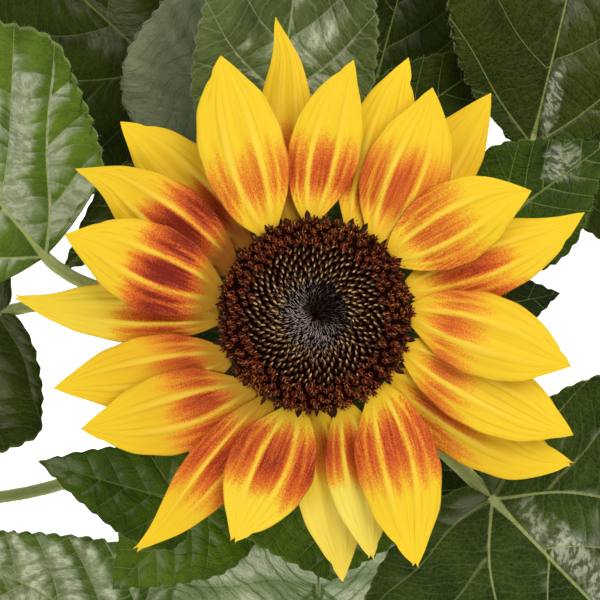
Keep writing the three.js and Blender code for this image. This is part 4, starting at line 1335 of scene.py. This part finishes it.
class MakeStage(bpy.types.Operator):
    """Pale floor, two large soft lights from opposite sides, and the camera that looks straight down"""

    bl_idname = "sunflower.make_stage"
    bl_label = "Stage"

    def execute(self, context):
        stage = context.scene.sunflower_stage
        finish, tree, surface = new_finish("Pale floor")
        tone = noise(object_place(tree), 180.0, 1.0)
        dress(surface, blended(tone, (0.9, 0.9, 0.9), (0.93, 0.93, 0.92)), 0.9, 0.5)
        surface.inputs["Emission Color"].default_value = (1, 1, 1, 1)
        surface.inputs["Emission Strength"].default_value = 0.8
        mesh = bpy.data.meshes.new("floor")
        corners = [(x * FLOOR_REACH, y * FLOOR_REACH, 0) for x, y in ((-1, -1), (1, -1), (1, 1), (-1, 1))]
        mesh.from_pydata(corners, [], [(0, 1, 2, 3)])
        mesh.materials.append(finish)
        floor = placed("floor", mesh)
        world = bpy.data.worlds.new("Studio")
        world.use_nodes = True
        nodes, links = world.node_tree.nodes, world.node_tree.links
        nodes["Background"].inputs[0].default_value = (0.96, 0.98, 1.0, 1)
        nodes["Background"].inputs[1].default_value = stage.sky
        seen = nodes.new("ShaderNodeBackground")
        seen.inputs[0].default_value = (1, 1, 1, 1)
        path = nodes.new("ShaderNodeLightPath")
        mixed = nodes.new("ShaderNodeMixShader")
        links.new(path.outputs["Is Camera Ray"], mixed.inputs[0])
        links.new(nodes["Background"].outputs[0], mixed.inputs[1])
        links.new(seen.outputs[0], mixed.inputs[2])
        links.new(mixed.outputs[0], nodes["World Output"].inputs[0])
        context.scene.world = world
        lamps = [("Key light", (0.5, 0.52, 1.05), 0.95, stage.key_power, (1.0, 0.985, 0.96)),
                 ("Side light", (-0.62, -0.62, 1.0), 0.9, stage.key_power * 0.6, (0.98, 0.99, 1.0))]
        for name, place, size, power, colour in lamps:
            lamp = bpy.data.lights.new(name, "AREA")
            lamp.size = size
            lamp.energy = power
            lamp.color = colour
            light = placed(name, lamp)
            light.location = place
            aim = Vector(LAMP_AIM) - Vector(place)
            light.rotation_euler = aim.to_track_quat("-Z", "Y").to_euler()
        camera_data = bpy.data.cameras.new("Camera")
        camera_data.sensor_width = SENSOR_WIDTH
        camera_data.lens = SENSOR_WIDTH * VIEW_DISTANCE / VIEW_WIDTH
        camera_data.clip_start = 0.05
        camera = placed("Camera", camera_data)
        camera.location = (VIEW_MIDDLE[0] * MM, VIEW_MIDDLE[1] * MM, stage.camera_height)
        context.scene.camera = camera
        context.scene.view_settings.view_transform = "Standard"
        return {"FINISHED"}


class MakeStem(bpy.types.Operator):
    """Ribbed stem, swollen where the stalks leave it, with its hairs"""

    bl_idname = "sunflower.make_stem"
    bl_label = "Stem"

    def execute(self, context):
        rings, out = stem_rings()
        new_piece("stem_skin", limb_mesh(rings), stem_finish(), ("stem",))
        hairs = hairs_on_limb(rings, out, np.random.default_rng(11), STEM_HAIRS, 12, (0.4, 1.1))
        hair_piece("stem_hairs", "stem", *hairs, 0.045, 12)
        return {"FINISHED"}


class MakeStalks(bpy.types.Operator):
    """One grooved stalk for each leaf, and their hairs"""

    bl_idname = "sunflower.make_stalks"
    bl_label = "Leaf stalks"

    def execute(self, context):
        finish = bpy.data.materials["Stem skin"]
        spray = np.random.default_rng(21)
        hairs = []
        for number in LEAF_NUMBERS:
            leaf = leaf_row(number)
            rings, out, shade = stalk_rings(number)
            node = f"leaf_{number:02d}" if leaf["small"] else f"leaf_stalk_{number:02d}"
            notes = {"stalk_groove": shade}
            new_piece(f"petiole_{number:02d}", limb_mesh(rings), finish, (node,), notes)
            hairs.append(hairs_on_limb(rings, out, spray, int(STALK_HAIRS * leaf["length"]), 3, (0.35, 1.0)))
        hair_piece("petiole_hairs", "stalk", *(np.concatenate(part) for part in zip(*hairs)), 0.04, 22)
        return {"FINISHED"}


class MakeLeaves(bpy.types.Operator):
    """Twenty leaf blades, and the fine hairs along their margins"""

    bl_idname = "sunflower.make_leaves"
    bl_label = "Leaves"

    def execute(self, context):
        hairs = []
        for number in LEAF_NUMBERS:
            blade_piece(number)
            hairs.append(blade_hairs(number))
        roots, ways = (np.vstack(part) for part in zip(*hairs))
        lengths = np.random.default_rng(31).uniform(0.35, 1.25, len(roots))
        hair_piece("blade_hairs", "leaf", roots, ways, lengths, 0.035, 32)
        return {"FINISHED"}


class MakeCup(bpy.types.Operator):
    """Green cup under the disc with three rows of pointed bracts"""

    bl_idname = "sunflower.make_cup"
    bl_label = "Cup and bracts"

    def execute(self, context):
        finish = cup_finish()
        profile = np.vstack([[0.5, -2.8], [18, -2.6], even_curve(CUP_PROFILE, 26)])
        angle = circle(CUP_SIDES)
        rings = round_bloom(angle, profile[:, :1] * (1 + 0.006 * np.cos(24 * angle)), profile[:, 1:])
        parts = [limb_mesh(rings[::-1])]
        roots, ways = [], []
        for row, (foot, drop, reach, tip_drop, first) in enumerate(BRACT_ROWS):
            for i in range(BRACTS_IN_ROW):
                bearing = first + 360 * i / BRACTS_IN_ROW
                top, under = self.bract(foot, drop, reach, tip_drop, bearing, 10 * row + i)
                parts.append(plate_mesh(top, under))
                for edge in (0, -1):
                    roots.append(top[3:-1, edge])
                    ways.append(top[3:-1, edge] - top[3:-1, top.shape[1] // 2] + [0, 0, 0.5])
        new_piece("cup_and_bracts", joined_parts(parts), finish, ("flower_cup",))
        roots, ways = np.repeat(np.vstack(roots), 3, axis=0), np.repeat(np.vstack(ways), 3, axis=0)
        spray = np.random.default_rng(41)
        ways = unit(ways) + spray.normal(0, 0.35, ways.shape)
        roots = roots + spray.normal(0, 0.25, roots.shape)
        hair_piece("bract_hairs", "cup", roots, ways, spray.uniform(0.6, 1.6, len(roots)), 0.045, 42)
        return {"FINISHED"}

    @staticmethod
    def bract(foot, drop, reach, tip_drop, bearing, seed):
        """Upper and under sides of one bract."""
        spray = np.random.default_rng(500 + seed)
        share, across = np.linspace(0, 1, BRACT_GRID[0]), np.linspace(-1, 1, BRACT_GRID[1])
        side = math.radians(bearing + 90)
        beside = np.array([math.cos(side), math.sin(side), 0])
        fullness = np.maximum(eased(BRACT_OUTLINE, share), 0.02) * BRACT_WIDTH / 2
        fall = drop + (tip_drop - drop) * share ** 1.6
        middle = on_bearing(bearing, foot + (reach - foot) * share, -fall)
        middle = middle + beside * (spray.uniform(-1.2, 1.2) * smooth(0.4, 1, share))[:, None]
        hollow = 0.9 * np.abs(across) * (1 - share[:, None]) - 0.35 * np.exp(-(across / 0.2) ** 2)
        ribs = 0.09 * np.cos(across * TURN * 2) * (1 - share[:, None])
        top = middle[:, None] + beside * (across * fullness[:, None])[..., None]
        top[..., 2] += hollow + ribs + 0.3
        return top, top - np.array([0, 0, 0.7])


class MakeRays(bpy.types.Operator):
    """Twenty-two yellow rays with a red flame"""

    bl_idname = "sunflower.make_rays"
    bl_label = "Rays"

    def execute(self, context):
        finish = ray_finish()
        for number in range(1, len(RAYS) + 1):
            ray_piece(number, finish)
        return {"FINISHED"}


class MakeDisc(bpy.types.Operator):
    """Seed disc: its dark bed, bristles, closed and open florets, pollen and rim scales"""

    bl_idname = "sunflower.make_disc"
    bl_label = "Seed disc"

    def execute(self, context):
        self.bed()
        self.bristles()
        self.closed_florets()
        self.open_florets()
        self.rim_scales()
        return {"FINISHED"}

    def bed(self):
        """Dark ground of the disc, ringed with fine lumps"""
        finish, tree, surface = new_finish("Disc bed")
        grain = noise(object_place(tree), 0.8, 3.0)
        dark = bpy.context.scene.sunflower_bloom.disc_dark
        dress(surface, blended(grain, (0.006, 0.002, 0.0015), dark), 0.6 + grain * 0.3, 0.05)
        bump(surface, grain, 0.5, 0.8)
        radii = np.linspace(0.2, 24.2, 60)
        heights = eased(DISC_PROFILE, radii) - 0.9 + 0.12 * np.sin(radii * 6)
        profile = np.vstack([[0.2, DISC_BOTTOM], [24.0, DISC_BOTTOM], stacked(radii, heights)[::-1]])
        angle = circle(BED_SIDES)
        radius, height = profile[:, :1], profile[:, 1:]
        lumps = 0.1 * np.cos(34 * angle + radius) * (height > DISC_BOTTOM)
        rings = round_bloom(angle, radius, height + lumps)
        new_piece("disc_bed", limb_mesh(rings), finish, ("seed_disc",))

    def bristles(self):
        """Thin bristles of the unopened middle, three to a place, that lean inwards, with painted light and
        shade in their tones
        """
        spray = np.random.default_rng(61)
        bearings, radii = (np.repeat(part, 3) for part in spiral_places(2.4, 12.6))
        count = len(radii)
        bearings = bearings + np.degrees(spray.normal(0, 0.24, count) / radii)
        radii = np.maximum(radii + spray.normal(0, 0.26, count), 0.4)
        lean = -0.5 - 0.45 * smooth(12, 3, radii)
        places, axes, out = disc_frames(bearings, radii + 0.5, 1.2, lean, 0.12, 62, 0.16)
        thick = spray.uniform(0.8, 1.1, count)
        sizes = stacked(thick, thick, spray.uniform(0.85, 1.1, count))
        # painted light and shade: tones are lighter on the side that faces the key light, darker on the far
        # side and towards the middle, where the darkest go almost black
        lit = np.cos(np.radians(bearings - BRISTLES_LIT))
        inner = 2.6 - 1.9 * lit
        tones = smooth(inner, inner + 4.8, radii) * (0.64 + 0.6 * lit + spray.normal(0.0, 0.25, count))
        pale = bpy.context.scene.sunflower_bloom.bristle
        finish = floret_finish("Bristles", (0.012, 0.005, 0.004), (0.05, 0.032, 0.028), pale, 0.38, 0.3, 0.85,
                               0.97)
        bristle = spindle([0.09, 0.115, 0.025], [0, 1.3, 2.8], 4)
        floret_piece("disc_bristles", bristle, places, upright_turns(axes, out), sizes, tones, finish)

    def closed_florets(self):
        """Brown closed florets, each with a cream tip that leans inwards"""
        spray = np.random.default_rng(71)
        bearings, radii = spiral_places(9.5, 19.2)
        count = len(radii)
        places, axes, out = disc_frames(bearings, radii, 0.9, 0.02 * (radii - 14), 0.22, 72, 0.05)
        sizes = spray.uniform(0.85, 1.1, count)
        tones = spray.normal(0.75, 0.15, count)
        bud = spindle([0.5, 0.62, 0.6, 0.42, 0.12], [0, 0.9, 1.6, 2.1, 2.5], 10, 0.16)
        finish = floret_finish("Closed florets", (0.012, 0.003, 0.002), (0.045, 0.01, 0.004),
                               (0.13, 0.034, 0.011), 0.45, 0.5, 0.95)
        floret_piece("disc_closed_florets", bud, places, upright_turns(axes, out), sizes, tones, finish)
        points, faces, share = spindle([0.12, 0.31, 0.27, 0.08], [0, 0.5, 1.0, 1.5], 6)
        tip = (points * [1.0, 0.7, 1.0], faces, share)
        places = places + 2.0 * axes - 0.25 * out + spray.normal(0, 0.13, places.shape)
        turns = upright_turns(axes - 0.75 * out + spray.normal(0, 0.2, places.shape), out)
        tones = spray.normal(0.62, 0.28, count) - 0.4 * smooth(16.5, 19, radii)
        cream = bpy.context.scene.sunflower_bloom.cream
        finish = floret_finish("Cream tips", (0.12, 0.05, 0.012), cream, cream, 0.45, 0.25, 0.6)
        floret_piece("disc_cream_tips", tip, places, turns, sizes * 1.08, tones, finish)

    def open_florets(self):
        """Open florets round the rim with their lobes, stigma arms and pollen"""
        spray = np.random.default_rng(81)
        bearings, radii = spiral_places(17.6, 24.3)
        count = len(radii)
        lean = 0.1 + 0.36 * smooth(20, 24, radii)
        places, axes, out = disc_frames(bearings, radii, 0.9, lean, 0.1, 82, 0.17)
        points, faces, _ = spindle([0.45, 0.55, 0.66, 0.74, 0.56, 0.3], [0, 1.0, 1.9, 2.5, 2.42, 1.6], 9, 0.1)
        throat = (np.hypot(points[:, 0], points[:, 1]) < 0.4) & (points[:, 2] > 1.4)
        tube = (points, faces, np.where(throat, 0.0, points[:, 2] / 2.5))
        turns = upright_turns(axes, out)
        sizes = spray.uniform(0.85, 1.12, count)
        tones = spray.normal(0.72, 0.16, count)
        finish = floret_finish("Open florets", (0.032, 0.005, 0.002), (0.17, 0.024, 0.007),
                               (0.36, 0.05, 0.014), 0.36, 0.5, 0.95)
        floret_piece("disc_open_florets", tube, places, turns, sizes, tones, finish)
        lobes = crown(curled_tongue(1.05, 0.5, 0.9, 0.6, 5), 5)
        floret_piece("disc_lobes", lobes, places + axes * 2.35, turns, sizes, tones, finish)
        arms = crown(curled_tongue(1.6, 0.35, 4.2, 0.26, 9), 2)
        tones = spray.normal(0.62, 0.2, count)
        finish = floret_finish("Stigma arms", (0.1, 0.018, 0.008), (0.36, 0.11, 0.04), (0.6, 0.28, 0.12),
                               0.36, 0.3, 0.8)
        floret_piece("disc_stigma_arms", arms, places + axes * 2.8, turns, sizes, tones, finish)
        clumps = 0.15 + np.maximum(0, np.sin(np.radians(bearings) * 5 + 1.0)) ** 2
        clumps = clumps + spray.uniform(0, 0.5, count)
        odds = clumps * (0.15 + smooth(19.5, 23, radii))
        at = spray.choice(count, POLLEN_GRAINS, p=odds / odds.sum())
        spots = places[at] + axes[at] * spray.uniform(1.5, 3.2, (POLLEN_GRAINS, 1))
        spots = spots + spray.normal(0, 0.55, spots.shape)
        turns = upright_turns(spray.normal(size=spots.shape), np.array([0.3, 1.0, 0.2]))
        tones = spray.normal(0.6, 0.25, POLLEN_GRAINS)
        grain = spindle([0.1, 0.25, 0.1], [0, 0.2, 0.4], 5)
        finish = floret_finish("Pollen", (0.3, 0.08, 0.008), (0.42, 0.13, 0.012), (0.55, 0.2, 0.02), 0.7)
        floret_piece("disc_pollen", grain, spots, turns, np.ones(POLLEN_GRAINS), tones, finish)

    def rim_scales(self):
        """Dark pointed scales round the disc"""
        spray = np.random.default_rng(91)
        count = bpy.context.scene.sunflower_bloom.rim_scales
        bearings = (np.arange(count) * 360 / count + spray.normal(0, 3.2, count)) % 360
        radii = spray.uniform(22.6, 24.3, count)
        share, across = np.linspace(0, 1, 9), np.linspace(-1, 1, 5)
        half = 0.95 * np.sin(math.pi * (0.18 + 0.82 * (1 - share)) ** 0.9) ** 0.8 * (1 - share ** 3) + 0.04
        rise = (0.9 * share - 1.1 * share ** 2)[:, None] - 0.3 * np.abs(across)
        top = stacked(4.6 * share[:, None], half[:, None] * across, rise)
        points, faces = plate_mesh(top, top - np.array([0, 0, 0.22]))
        scale = (points, faces, np.tile(np.repeat(share, len(across)), 2))
        places = on_bearing(bearings, radii, 1.0 + spray.uniform(-0.5, 0.9, count))
        out = unit(way_out(bearings))
        axes = np.array([0, 0, 1.0]) + out * spray.uniform(-0.5, 0.25, count)[:, None]
        axes = axes + spray.normal(0, 0.16, axes.shape)
        sizes = stacked(spray.uniform(0.4, 0.9, count), spray.uniform(0.6, 1.2, count), 1.0)
        tones = spray.normal(0.65, 0.2, count)
        finish = floret_finish("Rim scales", (0.06, 0.03, 0.01), (0.06, 0.022, 0.007),
                               (0.045, 0.014, 0.005), 0.8)
        floret_piece("disc_rim_scales", scale, places, upright_turns(axes, out), sizes, tones, finish)


class SunflowerPanel(bpy.types.Panel):
    """The plant's settings and its pieces"""

    bl_idname = "VIEW3D_PT_sunflower"
    bl_label = "Sunflower"
    bl_space_type = "VIEW_3D"
    bl_region_type = "UI"
    bl_category = "Sunflower"

    def draw(self, context):
        for label in SETTINGS:
            box, group = self.layout.box(), getattr(context.scene, label)
            for name in group.__annotations__:
                box.prop(group, name)
        for operator in OPERATORS:
            self.layout.operator(operator.bl_idname)


SETTINGS = {
    "sunflower_bloom": BloomSettings,
    "sunflower_leaves": LeafSettings,
    "sunflower_stem": StemSettings,
    "sunflower_stage": StageSettings,
}
OPERATORS = (MakeStage, MakeStem, MakeStalks, MakeLeaves, MakeCup, MakeRays, MakeDisc)


def register():
    """Adds the plant's classes and settings."""
    for kind in (*SETTINGS.values(), *OPERATORS, SunflowerPanel):
        bpy.utils.register_class(kind)
    for name, kind in SETTINGS.items():
        setattr(bpy.types.Scene, name, PointerProperty(type=kind))


def unregister():
    """Takes the plant's classes and settings away."""
    for name in SETTINGS:
        delattr(bpy.types.Scene, name)
    for kind in reversed((*SETTINGS.values(), *OPERATORS, SunflowerPanel)):
        bpy.utils.unregister_class(kind)


def main():
    register()
    hair_finish()
    bpy.ops.sunflower.make_stage()
    bpy.ops.sunflower.make_stem()
    bpy.ops.sunflower.make_stalks()
    bpy.ops.sunflower.make_leaves()
    bpy.ops.sunflower.make_cup()
    bpy.ops.sunflower.make_rays()
    bpy.ops.sunflower.make_disc()
    bpy.context.view_layer.update()


if __name__ == "__main__":
    main()
